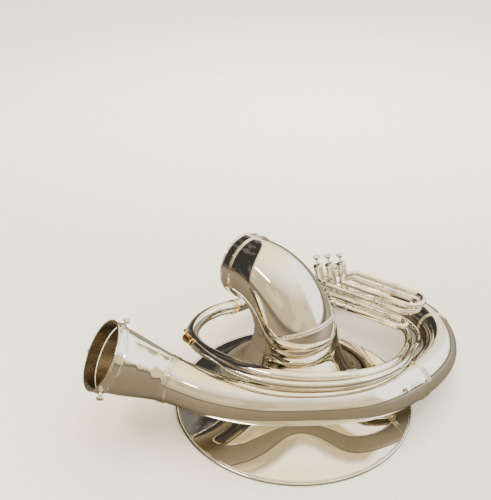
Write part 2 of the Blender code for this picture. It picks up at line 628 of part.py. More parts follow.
def outline_plate(name, outline, thickness, turn, place, material, parent):
    """A flat plate: its outline in the plane of the first two columns of a turn, about a place."""
    curve = bpy.data.curves.new(name, "CURVE")
    curve.dimensions = "2D"
    curve.fill_mode = "BOTH"
    curve.extrude = thickness / 2
    line = curve.splines.new("POLY")
    line.points.add(len(outline) - 1)
    for point, (x, y) in zip(line.points, outline):
        point.co = (x, y, 0.0, 1.0)
    line.use_cyclic_u = True
    curve.materials.append(material)
    made = bpy.data.objects.new(name, curve)
    PARTS.objects.link(made)
    made.location = place
    made.rotation_euler = turn.to_euler()
    hang(made, parent)
    return made


def build_water_key(body, route, joint):
    """Sprung lever over a drain hole in the big branch, on a saddle that holds its pin."""
    along_route = distances(route)
    places = along_route[joint] - KEY_BEFORE_JOINT + np.array([0.0, 0.01])
    piece = np.stack([np.interp(places, along_route, route[:, k]) for k in range(4)], axis=1)
    point, radius = Vector(piece[0, :3]), piece[0, 3]
    along = (Vector(piece[1, :3]) - point).normalized()
    out = (KEY_FACING - along * KEY_FACING.dot(along)).normalized()
    across = out.cross(along)
    turn = Matrix((along, across, out)).transposed()
    skin = point + out * (radius + GAP)
    post, foot = KEY_WIDTH * 0.4, KEY_WIDTH
    saddle = [(-post, -foot), (post, -foot), (post, foot), (-post, foot)]
    outline_plate("water_key_saddle", saddle, KEY_LIFT, turn, skin + out * KEY_LIFT / 2, SILVER, body)
    height = KEY_LIFT + GAP + KEY_THICKNESS / 2
    pivot = frame_empty("water_key_axis", skin + out * height, body)
    half, pad, touch = KEY_WIDTH / 2, KEY_PAD_R, KEY_WIDTH * 0.8
    neck = math.asin(half / pad)
    sweep = np.linspace(neck, 2 * math.pi - neck, 11)
    outline = [(-KEY_ARM + pad * math.cos(a), pad * math.sin(a)) for a in sweep]
    outline += [(KEY_ARM * 0.6, -half), (KEY_ARM * 0.7, -touch), (KEY_ARM * 0.95, -touch),
                (KEY_ARM, 0.0), (KEY_ARM * 0.95, touch), (KEY_ARM * 0.7, touch), (KEY_ARM * 0.6, half)]
    outline_plate("water_key_lever", outline, KEY_THICKNESS, turn, pivot.location, SILVER, pivot)


# --- assembly ---------------------------------------------------------------------------------
def box_of_parts():
    """Lowest and highest corner of every solid, as built."""
    bpy.context.view_layer.update()
    graph = bpy.context.evaluated_depsgraph_get()
    corners = []
    for part in PARTS.objects:
        if part.type == "EMPTY":
            continue
        shown = part.evaluated_get(graph)
        mesh = shown.to_mesh()
        places = np.empty(len(mesh.vertices) * 3)
        mesh.vertices.foreach_get("co", places)
        turn = np.array(shown.matrix_world)
        world = places.reshape(-1, 3) @ turn[:3, :3].T + turn[:3, 3]
        corners += [world.min(axis=0), world.max(axis=0)]
        shown.to_mesh_clear()
    corners = np.array(corners)
    return corners.min(axis=0), corners.max(axis=0)


def main():
    """Build the bell section and the horn body, then set the frame's origin."""
    root = frame_empty("assembly_frame", (0, 0, 0))
    bell = frame_empty("bell_section", (0, 0, 0), root)
    body = frame_empty("horn_body", (0, 0, 0), root)
    build_bell(bell)
    outer_route, right_joint, mouth, outward = build_outer_branch(body)
    build_clamp_screws(body, mouth, outward)
    inner_route = build_inner_branch(body)
    build_mouthpipe(body)
    for index in (1, 2, 3):
        build_valve(index, body)
    build_knuckles(body)
    build_slides(body)
    build_tuning_crook(body, inner_route)
    build_fittings(body)
    build_water_key(body, outer_route, right_joint)
    low, high = box_of_parts()
    root.location = (-(low[0] + high[0]) / 2, -(low[1] + high[1]) / 2, -low[2])


main()
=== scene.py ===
"""A sousaphone taken apart as it is stowed: bell section on its rim, coiled body round its neck."""
import logging
import math
from dataclasses import dataclass, field
from enum import Enum

import bmesh
import bpy
import numpy as np
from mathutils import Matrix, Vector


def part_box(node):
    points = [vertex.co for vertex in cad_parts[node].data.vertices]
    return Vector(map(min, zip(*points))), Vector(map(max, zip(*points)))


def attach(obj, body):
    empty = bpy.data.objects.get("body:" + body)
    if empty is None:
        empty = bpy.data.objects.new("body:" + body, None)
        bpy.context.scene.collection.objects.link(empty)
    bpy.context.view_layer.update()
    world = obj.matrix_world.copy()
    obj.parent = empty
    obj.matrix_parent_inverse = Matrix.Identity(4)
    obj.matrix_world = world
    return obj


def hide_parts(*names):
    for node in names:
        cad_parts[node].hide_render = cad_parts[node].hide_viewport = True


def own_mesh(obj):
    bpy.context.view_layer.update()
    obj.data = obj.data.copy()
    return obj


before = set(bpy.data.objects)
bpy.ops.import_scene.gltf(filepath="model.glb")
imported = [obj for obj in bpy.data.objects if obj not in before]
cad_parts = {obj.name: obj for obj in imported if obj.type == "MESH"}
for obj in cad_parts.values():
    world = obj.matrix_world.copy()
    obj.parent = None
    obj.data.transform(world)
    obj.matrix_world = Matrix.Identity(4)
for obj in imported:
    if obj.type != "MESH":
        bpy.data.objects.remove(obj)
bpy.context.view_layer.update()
LOG = logging.getLogger("sousaphone")

UP = np.array([0.0, 0.0, 1.0])
RIM_LOW, RIM_HIGH = (np.array(corner, float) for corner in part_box("bell_rim_bead"))
BELL_AXIS = np.array([(RIM_LOW[0] + RIM_HIGH[0]) / 2, (RIM_LOW[1] + RIM_HIGH[1]) / 2, 0.0])

GAP = 0.0004
SEAM = 0.0002
PORT_REACH = 0.0085
BELL_WALL = 0.0009
BODY_WALL = 0.0009
MM = 0.001
WELD = 1e-6
CRISP = math.radians(32.0)
STEEP = 0.9
INNER_PITCH = 2.5
RIDGED = 0.853


class Body(Enum):
    """The rigid bodies that pieces ride on."""

    BELL = "bell"
    HORN = "horn_body"
    KEY = "water_key"
    SOCKET_SCREW = "socket_screw"


class Side(Enum):
    """Which face of a tube's wall a finish is for."""

    OUTSIDE = 0
    INSIDE = 1


BELL, HORN, KEY = Body.BELL.value, Body.HORN.value, Body.KEY.value


# --- finishes ---------------------------------------------------------------------------------
def node_group(name: str, inputs: dict[str, str], outputs: dict[str, str]) -> tuple:
    """Starts a shader node group.

    Args:
        name: The group's name.
        inputs: Socket names and their types, such as Float, Color or Vector.
        outputs: The same for what the group puts out.

    Returns:
        The group, its input node and its output node.
    """
    group = bpy.data.node_groups.new(name, "ShaderNodeTree")
    for way, sockets in (("INPUT", inputs), ("OUTPUT", outputs)):
        for label, kind in sockets.items():
            group.interface.new_socket(name=label, in_out=way, socket_type=f"NodeSocket{kind}")
    return group, group.nodes.new("NodeGroupInput"), group.nodes.new("NodeGroupOutput")


def stretched(tree, vector, scale: tuple[float, float, float], turn: tuple[float, float, float]):
    """A vector scaled and turned, for patterns with a grain; returns the socket."""
    node = tree.nodes.new("ShaderNodeMapping")
    node.inputs["Scale"].default_value = scale
    node.inputs["Rotation"].default_value = turn
    tree.links.new(vector, node.inputs["Vector"])
    return node.outputs["Vector"]


def noise(tree, vector, scale, detail: float = 4.0, roughness: float = 0.55, scale_by: float = 1.0):
    """Noise on a vector, with its scale from a socket or a number.

    Args:
        tree: The node tree it is made in.
        vector: The socket with the place.
        scale: A socket, or a plain number.
        detail: Number of octaves.
        roughness: Weight of the finer octaves.
        scale_by: Factor on a scale that comes from a socket.

    Returns:
        The output socket with the noise value.
    """
    node = tree.nodes.new("ShaderNodeTexNoise")
    node.inputs["Detail"].default_value = detail
    node.inputs["Roughness"].default_value = roughness
    tree.links.new(vector, node.inputs["Vector"])
    if isinstance(scale, (int, float)):
        node.inputs["Scale"].default_value = scale
    else:
        tree.links.new(product(tree, scale, scale_by), node.inputs["Scale"])
    return node.outputs["Fac"]


def arithmetic(tree, operation: str, first, second):
    """One sum on two sockets or numbers; returns the result's socket."""
    node = tree.nodes.new("ShaderNodeMath")
    node.operation = operation
    for socket, value in zip(node.inputs, (first, second)):
        if isinstance(value, (int, float)):
            socket.default_value = value
        else:
            tree.links.new(value, socket)
    return node.outputs[0]


def product(tree, first, second):
    """Two sockets or numbers multiplied; returns the result's socket."""
    return arithmetic(tree, "MULTIPLY", first, second)


def remap(tree, value, low: float, high: float, to_low, to_high):
    """A value's range low to high turned into another range, held at its ends; returns the socket."""
    node = tree.nodes.new("ShaderNodeMapRange")
    node.inputs["From Min"].default_value = low
    node.inputs["From Max"].default_value = high
    tree.links.new(value, node.inputs["Value"])
    for label, end in (("To Min", to_low), ("To Max", to_high)):
        if isinstance(end, (int, float)):
            node.inputs[label].default_value = end
        else:
            tree.links.new(end, node.inputs[label])
    return node.outputs["Result"]


def blended(tree, share, first, second):
    """Two colours, each a socket or three numbers, mixed by a share; returns the colour's socket."""
    node = tree.nodes.new("ShaderNodeMix")
    node.data_type = "RGBA"
    tree.links.new(share, node.inputs[0])
    for socket, colour in zip([s for s in node.inputs if s.type == "RGBA"], (first, second)):
        if isinstance(colour, tuple):
            socket.default_value = (*colour, 1.0)
        else:
            tree.links.new(colour, socket)
    return next(s for s in node.outputs if s.type == "RGBA")


def tarnish_group():
    """Colour drifting from clean metal to tarnish in soft clouds with fine mottling in them."""
    group, source, sink = node_group(
        "tarnish_clouds",
        {"Vector": "Vector", "Scale": "Float", "Amount": "Float", "Clean": "Color", "Tarnish": "Color"},
        {"Color": "Color", "Mask": "Float"})
    where, scale = source.outputs["Vector"], source.outputs["Scale"]
    clouds = remap(group, noise(group, where, scale, 3.0), 0.44, 0.70, 0.0, 1.0)
    mottle = remap(group, noise(group, where, scale, 6.0, 0.65, 9.0), 0.35, 0.70, 0.0, 0.35)
    both = arithmetic(group, "ADD", product(group, clouds, 0.75), mottle)
    mask = product(group, both, source.outputs["Amount"])
    mixed = blended(group, mask, source.outputs["Clean"], source.outputs["Tarnish"])
    group.links.new(mixed, sink.inputs["Color"])
    group.links.new(mask, sink.inputs["Mask"])
    return group


def handling_group():
    """Roughness from wiped smears, fingerprints' grease and fine haze."""
    group, source, sink = node_group(
        "handling_haze", {"Vector": "Vector", "Scale": "Float", "Low": "Float", "High": "Float"},
        {"Roughness": "Float"})
    where, scale = source.outputs["Vector"], source.outputs["Scale"]
    smear = noise(group, stretched(group, where, (0.35, 1.0, 2.2), (0.4, 0.7, 0.3)), scale, 5.0, 0.6)
    haze = noise(group, where, scale, 4.0, 0.7, 14.0)
    both = arithmetic(group, "ADD", product(group, smear, 0.7), product(group, haze, 0.3))
    rough = remap(group, both, 0.38, 0.68, source.outputs["Low"], source.outputs["High"])
    group.links.new(rough, sink.inputs["Roughness"])
    return group


def sheet_group():
    """Height of hand-worked sheet metal: slow waves, small dings and polishing lines."""
    group, source, sink = node_group(
        "sheet_waves", {"Vector": "Vector", "Wave Scale": "Float", "Wave": "Float",
                        "Line Scale": "Float", "Line": "Float"}, {"Height": "Float"})
    given = source.outputs
    waves = noise(group, given["Vector"], given["Wave Scale"], 2.0, 0.4)
    grain = stretched(group, given["Vector"], (0.12, 0.12, 1.0), (0.12, 0.2, 0.0))
    lines = noise(group, grain, given["Line Scale"], 5.0, 0.7)
    height = arithmetic(group, "ADD", product(group, waves, given["Wave"]),
                        product(group, lines, given["Line"]))
    group.links.new(height, sink.inputs["Height"])
    return group


@dataclass(frozen=True)
class Finish:
    """One surface finish and the numbers that make its material."""

    name: str
    slot: str
    clean: tuple[float, float, float]
    tarnish: tuple[float, float, float]
    amount: float
    rough: tuple[float, float]
    metallic: float = 1.0
    cloud_scale: float = 7.0
    haze_scale: float = 16.0
    wave: float = 0.00018
    wave_scale: float = 9.0
    line: float = 0.000002
    line_scale: float = 900.0
    coat: float = 0.0
    sheen: float = 0.0

    def material(self):
        """The Principled material with tarnish, haze and waves from the shared groups."""
        made = bpy.data.materials.get(self.name)
        if made:
            return made
        made = bpy.data.materials.new(self.name)
        made.use_nodes = True
        tree = made.node_tree
        shader = tree.nodes["Principled BSDF"]
        shader.inputs["Metallic"].default_value = self.metallic
        shader.inputs["Coat Weight"].default_value = self.coat
        shader.inputs["Sheen Weight"].default_value = self.sheen
        where = tree.nodes.new("ShaderNodeTexCoord").outputs["Object"]
        colour = self.placed(tree, "tarnish", where, {
            "Scale": self.cloud_scale, "Amount": self.amount,
            "Clean": (*self.clean, 1.0), "Tarnish": (*self.tarnish, 1.0)})
        haze = self.placed(tree, "handling", where, {
            "Scale": self.haze_scale, "Low": self.rough[0], "High": self.rough[1]})
        waves = self.placed(tree, "sheet", where, {
            "Wave Scale": self.wave_scale, "Wave": self.wave,
            "Line Scale": self.line_scale, "Line": self.line})
        bump = tree.nodes.new("ShaderNodeBump")
        bump.inputs["Strength"].default_value = 1.0
        bump.inputs["Distance"].default_value = 1.0
        tree.links.new(colour.outputs["Color"], shader.inputs["Base Color"])
        tree.links.new(haze.outputs["Roughness"], shader.inputs["Roughness"])
        tree.links.new(waves.outputs["Height"], bump.inputs["Height"])
        tree.links.new(bump.outputs["Normal"], shader.inputs["Normal"])
        return made

    def placed(self, tree, group: str, where, values: dict):
        """A group's node in a material, reading the place, with its own values; returns the node."""
        node = tree.nodes.new("ShaderNodeGroup")
        node.node_tree = GROUPS[group]
        tree.links.new(where, node.inputs["Vector"])
        for label, value in values.items():
            node.inputs[label].default_value = value
        return node


GROUPS = {"tarnish": tarnish_group(), "handling": handling_group(), "sheet": sheet_group()}
SILVER = Finish(
    "mirror_silver", "silver_plate", (0.95, 0.92, 0.84), (0.74, 0.64, 0.48), 0.35, (0.015, 0.06))
BRIGHT = Finish(
    "fitting_silver", "silver_plate", (0.96, 0.94, 0.88), (0.62, 0.50, 0.36), 0.45, (0.04, 0.12),
    cloud_scale=22.0, haze_scale=40.0, wave=0.00008, wave_scale=30.0)
# Inside finishes: rough and tarnished like the metal's own, with a darker clean colour that is painted
# shade for the bores and the flare's underside.
BORE = Finish(
    "dull_bore_painted_shade", "silver_plate", (0.70, 0.64, 0.54), (0.36, 0.30, 0.23), 0.8, (0.18, 0.36),
    cloud_scale=12.0)
FLARE_BORE = Finish(
    "satin_flare_inside_painted_shade", "silver_plate", (0.80, 0.74, 0.62), (0.50, 0.42, 0.30), 0.5, (0.25, 0.42))
BRASS = Finish(
    "warm_brass", "raw_brass", (0.88, 0.62, 0.26), (0.55, 0.33, 0.12), 0.5, (0.10, 0.24),
    cloud_scale=30.0, haze_scale=40.0, wave=0.00005, wave_scale=30.0)
STEEL = Finish(
    "spring_wire", "spring_steel", (0.62, 0.62, 0.63), (0.35, 0.33, 0.30), 0.4, (0.22, 0.40),
    cloud_scale=60.0)
FELT = Finish(
    "green_felt", "silver_plate", (0.05, 0.13, 0.08), (0.10, 0.20, 0.12), 0.9, (0.85, 1.0),
    metallic=0.0, cloud_scale=300.0, haze_scale=200.0, wave=0.0002, wave_scale=900.0, sheen=0.4)
PEARL = Finish(
    "pearl_inlay", "silver_plate", (0.88, 0.86, 0.80), (0.70, 0.76, 0.74), 0.8, (0.12, 0.22),
    metallic=0.0, cloud_scale=90.0, haze_scale=60.0, wave=0.00005, wave_scale=200.0, coat=0.6)
CORK = Finish(
    "key_cork", "raw_brass", (0.55, 0.38, 0.22), (0.28, 0.17, 0.09), 1.0, (0.75, 0.95),
    metallic=0.0, cloud_scale=500.0, haze_scale=300.0, wave=0.0003, wave_scale=800.0)
PLATED = [SILVER, BORE]
TRIM = [BRIGHT]


# --- shapes -----------------------------------------------------------------------------------
def unit(vector) -> np.ndarray:
    """A vector, or rows of them, at length one."""
    vector = np.asarray(vector, float)
    return vector / np.linalg.norm(vector, axis=-1, keepdims=True)


def catmull_rom(stations, steps: int = 24) -> np.ndarray:
    """Points on a Catmull-Rom curve through stations: each span is the cubic whose end slopes are
    half the chord between the neighbours on both sides."""
    rows = np.array([list(row) for row in stations], float)
    ends = np.vstack([2 * rows[0] - rows[1], rows, 2 * rows[-1] - rows[-2]])
    t = np.linspace(0.0, 1.0, steps, endpoint=False)[None, :, None]
    a, b, c, d = (ends[k:len(ends) - 3 + k, None, :] for k in range(4))
    bent = (2 * a - 5 * b + 4 * c - d) * t**2 + (3 * b - a - 3 * c + d) * t**3
    spans = 0.5 * (2 * b + (c - a) * t + bent)
    return np.vstack([spans.reshape(-1, rows.shape[1]), rows[-1:]])


@dataclass
class Route:
    """A centreline with a radius, and a frame across it at every distance along."""

    points: np.ndarray
    radii: np.ndarray
    aside: np.ndarray = field(default_factory=lambda: UP.copy())

    def __post_init__(self) -> None:
        """Works out the distance along, and the two directions across, at each point."""
        steps = np.linalg.norm(np.diff(self.points, axis=0), axis=1)
        self.along = np.concatenate([[0.0], np.cumsum(steps)])
        slope = np.gradient(self.points, self.along, axis=0)
        self.across = unit(np.cross(slope, self.aside))
        self.over = unit(np.cross(self.across, slope))

    @property
    def length(self) -> float:
        """Length of the centreline."""
        return float(self.along[-1])

    def read(self, values: np.ndarray, places) -> np.ndarray:
        """Rows of values at places along the route, past its ends in a straight line."""
        places = np.asarray(places, float)
        inside = np.stack([np.interp(places, self.along, column) for column in values.T], axis=-1)
        if values is self.points:
            first = unit(self.points[1] - self.points[0])
            last = unit(self.points[-1] - self.points[-2])
            inside = inside + np.minimum(places, 0.0)[..., None] * first
            inside = inside + np.maximum(places - self.length, 0.0)[..., None] * last
        return inside

    def radius(self, places) -> np.ndarray:
        """Outer radius at places along the route."""
        return np.interp(places, self.along, self.radii)

    def around(self, places, radii, sides: int, fluting: tuple[int, float] = (0, 0.0)) -> np.ndarray:
        """A grid of points round the route: each row is a circle at one place with one radius.

        Args:
            places: Distances along the route, one for each row.
            radii: Radius of each row.
            sides: Points in each circle.
            fluting: Number of flutes round the circle, and how deep each one is as a share.

        Returns:
            An array of rows by sides by 3.
        """
        angle = np.linspace(0.0, 2 * math.pi, sides, endpoint=False)
        count, depth = fluting
        swell = 1.0 + depth * np.cos(count * angle) if count else np.ones(sides)
        centre, across, over = (self.read(values, places)[:, None, :]
                                for values in (self.points, self.across, self.over))
        ring = np.cos(angle)[None, :, None] * across + np.sin(angle)[None, :, None] * over
        return centre + ring * (np.asarray(radii, float)[:, None] * swell[None, :])[..., None]


def axis_route(base, direction) -> Route:
    """A straight route from a base along a direction, for turned pieces."""
    direction = unit(direction)
    aside = UP if abs(direction[2]) < STEEP else np.array([0.0, 1.0, 0.0])
    points = np.asarray(base, float) + np.linspace(0.0, 1.0, 3)[:, None] * direction
    return Route(points, np.zeros(3), aside)


class Surface:
    """Points and faces of one piece, gathered patch by patch."""

    def __init__(self) -> None:
        """Starts empty."""
        self.points: list[np.ndarray] = []
        self.faces: list[np.ndarray] = []
        self.sides: list[np.ndarray] = []
        self.count = 0

    def ring(self, grid: np.ndarray, inner_from: int | None = None, closed: bool = True) -> "Surface":
        """Adds a grid that closes round each row, and from its last row back to its first.

        Args:
            grid: Rows by columns by 3.
            inner_from: The row from which the faces belong to the inside finish.
            closed: Whether the last row joins the first.

        Returns:
            The surface itself.
        """
        rows, columns = grid.shape[:2]
        index = np.arange(rows * columns).reshape(rows, columns) + self.count
        if closed:
            index = np.vstack([index, index[:1]])
        index = np.hstack([index, index[:, :1]])
        quads = np.stack([index[:-1, :-1], index[:-1, 1:], index[1:, 1:], index[1:, :-1]], axis=-1)
        side = np.full(quads.shape[:2], Side.OUTSIDE.value)
        if inner_from is not None:
            side[inner_from:] = Side.INSIDE.value
        self.points.append(grid.reshape(-1, 3))
        self.faces.append(quads.reshape(-1, 4))
        self.sides.append(side.reshape(-1))
        self.count += rows * columns
        return self

    def make(self, name: str, finishes: list[Finish], body: str, nodes: tuple[str, ...] = (),
             bevel: float = 0.0):
        """Turns the gathered patches into a piece that rides a body.

        Args:
            name: The piece's name.
            finishes: Outside finish, and inside finish where there is one.
            body: Name of the body it rides on.
            nodes: CAD nodes it replaces.
            bevel: Width of a small round on its crisp edges, in metres.

        Returns:
            The Blender object.
        """
        mesh = bpy.data.meshes.new(name)
        places = (np.vstack(self.points) + BELL_AXIS).tolist()
        mesh.from_pydata(places, [], np.vstack(self.faces).tolist())
        for finish in finishes:
            mesh.materials.append(finish.material())
        sides = np.minimum(np.concatenate(self.sides), len(finishes) - 1)
        mesh.polygons.foreach_set("material_index", sides)
        work = bmesh.new()
        work.from_mesh(mesh)
        bmesh.ops.remove_doubles(work, verts=work.verts, dist=WELD)
        bmesh.ops.recalc_face_normals(work, faces=work.faces)
        work.to_mesh(mesh)
        work.free()
        mesh.polygons.foreach_set("use_smooth", np.ones(len(mesh.polygons), bool))
        mesh.set_sharp_from_angle(angle=CRISP)
        made = bpy.data.objects.new(name, mesh)
        bpy.context.scene.collection.objects.link(made)
        if bevel:
            edge = made.modifiers.new("edge", "BEVEL")
            edge.width = bevel
            edge.segments = 2
            edge.limit_method = "ANGLE"
            edge.angle_limit = CRISP
        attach(made, body)
        if nodes:
            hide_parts(*nodes)
        LOG.info("%s: %d faces on %s", name, len(mesh.polygons), body)
        return made


def mm(*pairs: tuple[float, float]) -> list[tuple[float, float]]:
    """An outline of radius and height, given in millimetres, in metres."""
    return [(radius * MM, height * MM) for radius, height in pairs]


def lifted(outline: list[tuple[float, float]], height: float) -> list[tuple[float, float]]:
    """The same outline with a height added all along it."""
    return [(radius, place + height) for radius, place in outline]


def tube_grid(route: Route, start: float, end: float, wall: float, sides: int, pitch: float
              ) -> tuple[np.ndarray, int]:
    """A tube's wall as one loop: out along the outside, and back along the inside.

    Args:
        route: The centreline.
        start: Where the tube starts along it.
        end: Where it ends.
        wall: Thickness of the metal.
        sides: Points round the tube.
        pitch: Distance between rows on the outside; the inside's rows are further apart.

    Returns:
        The grid, and the row at which the inside starts.
    """
    outer = np.linspace(start, end, max(3, int((end - start) / pitch) + 1))
    inner = np.linspace(end, start, max(3, int((end - start) / (pitch * INNER_PITCH)) + 1))
    places = np.concatenate([outer, inner])
    radii = route.radius(places)
    radii[len(outer):] -= wall
    return route.around(places, radii, sides), len(outer) - 1


@dataclass(frozen=True)
class Ring:
    """A ferrule's place along its tube, its size and its ridges."""

    middle: float
    length: float
    wall: float = 0.0008
    ridges: int = 2
    height: float = 0.0007


def ferrule(route: Route, ring: Ring, sides: int) -> np.ndarray:
    """A ferrule's grid round a tube, seated on the tube's own taper: a plain inside, and an outside
    that swells in rounded ridges, each the square root of a cosine's positive half, between lands."""
    share = np.linspace(-0.5, 0.5, 14 * ring.ridges + 1)
    phase = share / RIDGED * 2 * math.pi * ring.ridges
    shift = 0.0 if ring.ridges % 2 else math.pi
    crest = np.sqrt(np.clip(np.cos(phase + shift), 0.0, 1.0)) * ring.height
    taper = np.clip((0.5 - np.abs(share)) / 0.05, 0.35, 1.0)
    half = ring.length / 2
    places = np.concatenate([ring.middle + share * ring.length, [ring.middle + half, ring.middle - half]])
    radii = np.concatenate([(ring.wall + crest) * taper, [0.0, 0.0]])
    return route.around(places, radii + route.radius(places) - 0.0001, sides)


def tube(name: str, body: str, route: Route, span: tuple[float, float], wall: float, sides: int,
         pitch: float, nodes: tuple[str, ...], seat=None):
    """Makes a silver tube over a span of a route, dull inside and darkened there by painted shade; seat
    may move its points first.
    """
    grid, inside = tube_grid(route, *span, wall, sides, pitch)
    return Surface().ring(seat(grid) if seat else grid, inside).make(name, PLATED, body, nodes)


def ferrules(name: str, finish: Finish, body: str, route: Route, rings: list[Ring], sides: int = 40,
             nodes: tuple[str, ...] = ()):
    """Makes one piece out of the ferrules on a route."""
    surface = Surface()
    for ring in rings:
        surface.ring(ferrule(route, ring, sides))
    return surface.make(name, [finish], body, nodes)


def lathe(name: str, finishes: list[Finish], body: str, axis: tuple[np.ndarray, np.ndarray],
          outline: list[tuple[float, float]], sides: int, nodes: tuple[str, ...] = (),
          fluting: tuple[int, float] = (0, 0.0), inner_from: int | None = None, bevel: float = 0.0):
    """Makes a piece by turning an outline of radius and height round an axis.

    Args:
        name: The piece's name.
        finishes: Outside finish, and inside finish where there is one.
        body: Name of the body it rides on.
        axis: The axis's foot and direction.
        outline: A loop if it starts off the axis, or else a solid's outline from axis to axis.
        sides: Points round the piece.
        nodes: CAD nodes it replaces.
        fluting: Number of flutes round it, and their depth as a share.
        inner_from: Place in the outline from which the inside finish starts.
        bevel: Width of a small round on its crisp edges, in metres.

    Returns:
        The Blender object.
    """
    profile = np.array(outline, float)
    grid = axis_route(*axis).around(profile[:, 1], profile[:, 0], sides, fluting)
    surface = Surface().ring(grid, inner_from, closed=outline[0][0] > 0)
    return surface.make(name, finishes, body, nodes, bevel)


def torus(centre, normal, radius: float, wire: float, around: int, section: int) -> np.ndarray:
    """A ring: a circle of wire radius carried round a circle of ring radius."""
    first = unit(np.cross(normal, [1.0, 0.0, 0.0]))
    second = np.cross(normal, first)
    u = np.linspace(0, 2 * math.pi, around, endpoint=False)[:, None, None]
    v = np.linspace(0, 2 * math.pi, section, endpoint=False)[None, :, None]
    spoke = np.cos(u) * first + np.sin(u) * second
    return np.asarray(centre, float) + spoke * (radius + wire * np.cos(v)) + normal * wire * np.sin(v)


def ball_tip(radius: float, low: float, high: float, steps: int) -> list[tuple[float, float]]:
    """The rounded end of an outline: radius falls to nothing as height goes from low to high."""
    angle = np.linspace(0.0, math.pi / 2, steps)
    return list(zip(radius * np.cos(angle), low + (high - low) * np.sin(angle)))


# --- bell section -----------------------------------------------------------------------------
@dataclass
class BellSection:
    """Flare, rolled rim, neck, and the ringed tenon that goes into the body's receiver."""

    rim_r: float = 0.325
    bead_r: float = 0.0042
    height: float = 0.208
    throat_r: float = 0.112
    power: float = 0.62
    sunk: float = 0.004
    land: float = 0.005
    bend_r: float = 0.145
    heading: float = 135.5
    length: float = 0.195
    ring_angle: float = 18.0
    tenon_r: float = 0.0850
    tenon_length: float = 0.034
    ring_h: float = 0.0018
    stop_h: float = 0.0042
    sides: int = 160
    neck_sides: int = 96

    def flare_radius(self, height: np.ndarray) -> np.ndarray:
        """Horn law: radius falls as a power of the height above the rolled rim."""
        lip = 2 * self.bead_r + 2 * GAP
        lip_r = self.rim_r - 2 * self.bead_r + BELL_WALL / 2
        start = (self.height - lip) / ((lip_r / self.throat_r) ** (1.0 / self.power) - 1.0)
        return lip_r * (start / (start + height - lip)) ** self.power

    def neck(self) -> Route:
        """Centreline of the neck: straight up, a quarter circle over, and level to the tenon."""
        angle = math.radians(self.heading)
        way = np.array([math.cos(angle), math.sin(angle), 0.0])
        bend = np.radians(np.linspace(0.0, 90.0, 91))[:, None]
        rise = self.height + self.land
        arc = way * self.bend_r * (1 - np.cos(bend)) + UP * (rise + self.bend_r * np.sin(bend))
        taper = self.throat_r + (self.tenon_r - self.throat_r) * (bend[:, 0] / (math.pi / 2)) ** 0.9
        start = UP * (self.height + np.linspace(-self.sunk, self.land, 4)[:, None])[:-1]
        end = way * np.linspace(self.bend_r, self.length, 8)[1:, None] + UP * (rise + self.bend_r)
        radii = np.concatenate([np.full(3, self.throat_r), taper, np.full(7, self.tenon_r)])
        return Route(np.vstack([start, arc, end]), radii, np.cross(way, UP))

    def build(self) -> None:
        """Makes every piece of the bell section."""
        self.build_flare()
        route = self.neck()
        shoulder = route.length - self.tenon_length
        tube("neck_skin", BELL, route, (0.0, shoulder + 0.001), BELL_WALL, self.neck_sides, 0.004,
             ("neck_socket", "bell_neck"))
        place = self.sunk + self.land + math.radians(self.ring_angle) * self.bend_r
        ferrules("neck_seam_ring", BRIGHT, BELL, route, [Ring(place, 0.0085, 0.0012, 2, 0.0011)],
                 self.neck_sides, ("neck_joint_ring",))
        self.build_tenon(route, shoulder)

    def build_flare(self) -> None:
        """The flare's thin wall, and the wire roll at its rim."""
        lip = 2 * self.bead_r
        share = np.linspace(0.0, 1.0, 72) ** 1.6
        heights = lip + 2 * GAP + (self.height - lip - 2 * GAP) * share
        radii = self.flare_radius(heights)
        heights[0] = lip * 0.8
        axis = axis_route((0, 0, 0), UP)
        grid = axis.around(np.concatenate([heights[::-1], heights]),
                           np.concatenate([radii[::-1], radii - BELL_WALL]), self.sides)
        flare = Surface().ring(grid, len(heights) - 1)
        flare.make("flare_skin", [SILVER, FLARE_BORE], BELL, ("bell_flare",))
        turn = np.linspace(0.0, 2 * math.pi, 28, endpoint=False)
        centre = self.rim_r - self.bead_r
        roll = axis.around(self.bead_r * (1 + np.sin(turn)), centre + self.bead_r * np.cos(turn),
                           self.sides)
        Surface().ring(roll).make("rim_roll", TRIM, BELL, ("bell_rim_bead",))

    def build_tenon(self, route: Route, shoulder: float) -> None:
        """The thick tenon: a rounded stop ring, a groove, the plain seat and the mouth's bead."""
        wall = BELL_WALL * 1.6
        turn = np.linspace(-math.pi / 2, math.pi / 2, 10)
        length = route.length - shoulder
        stop_half, bead_half = 0.0023, 0.0022
        stop = [(self.stop_h * math.cos(a), stop_half * (1 + math.sin(a))) for a in turn]
        bead = [(self.ring_h * math.cos(a), length - bead_half * (1 - math.sin(a))) for a in turn]
        groove = mm((0, 6.2), (-0.4, 6.6), (-0.4, 7.6), (0, 8.0)) + [(0.0, length * 0.84)]
        inside = [(-wall, length), (-wall, length * 0.5), (-wall, 0.0)]
        outline = np.array(stop + groove + bead + inside)
        grid = route.around(shoulder + outline[:, 1], self.tenon_r + outline[:, 0], self.neck_sides)
        Surface().ring(grid, len(outline) - 4).make("tenon_skin", [BRIGHT, BORE], BELL, ("bell_tenon",))


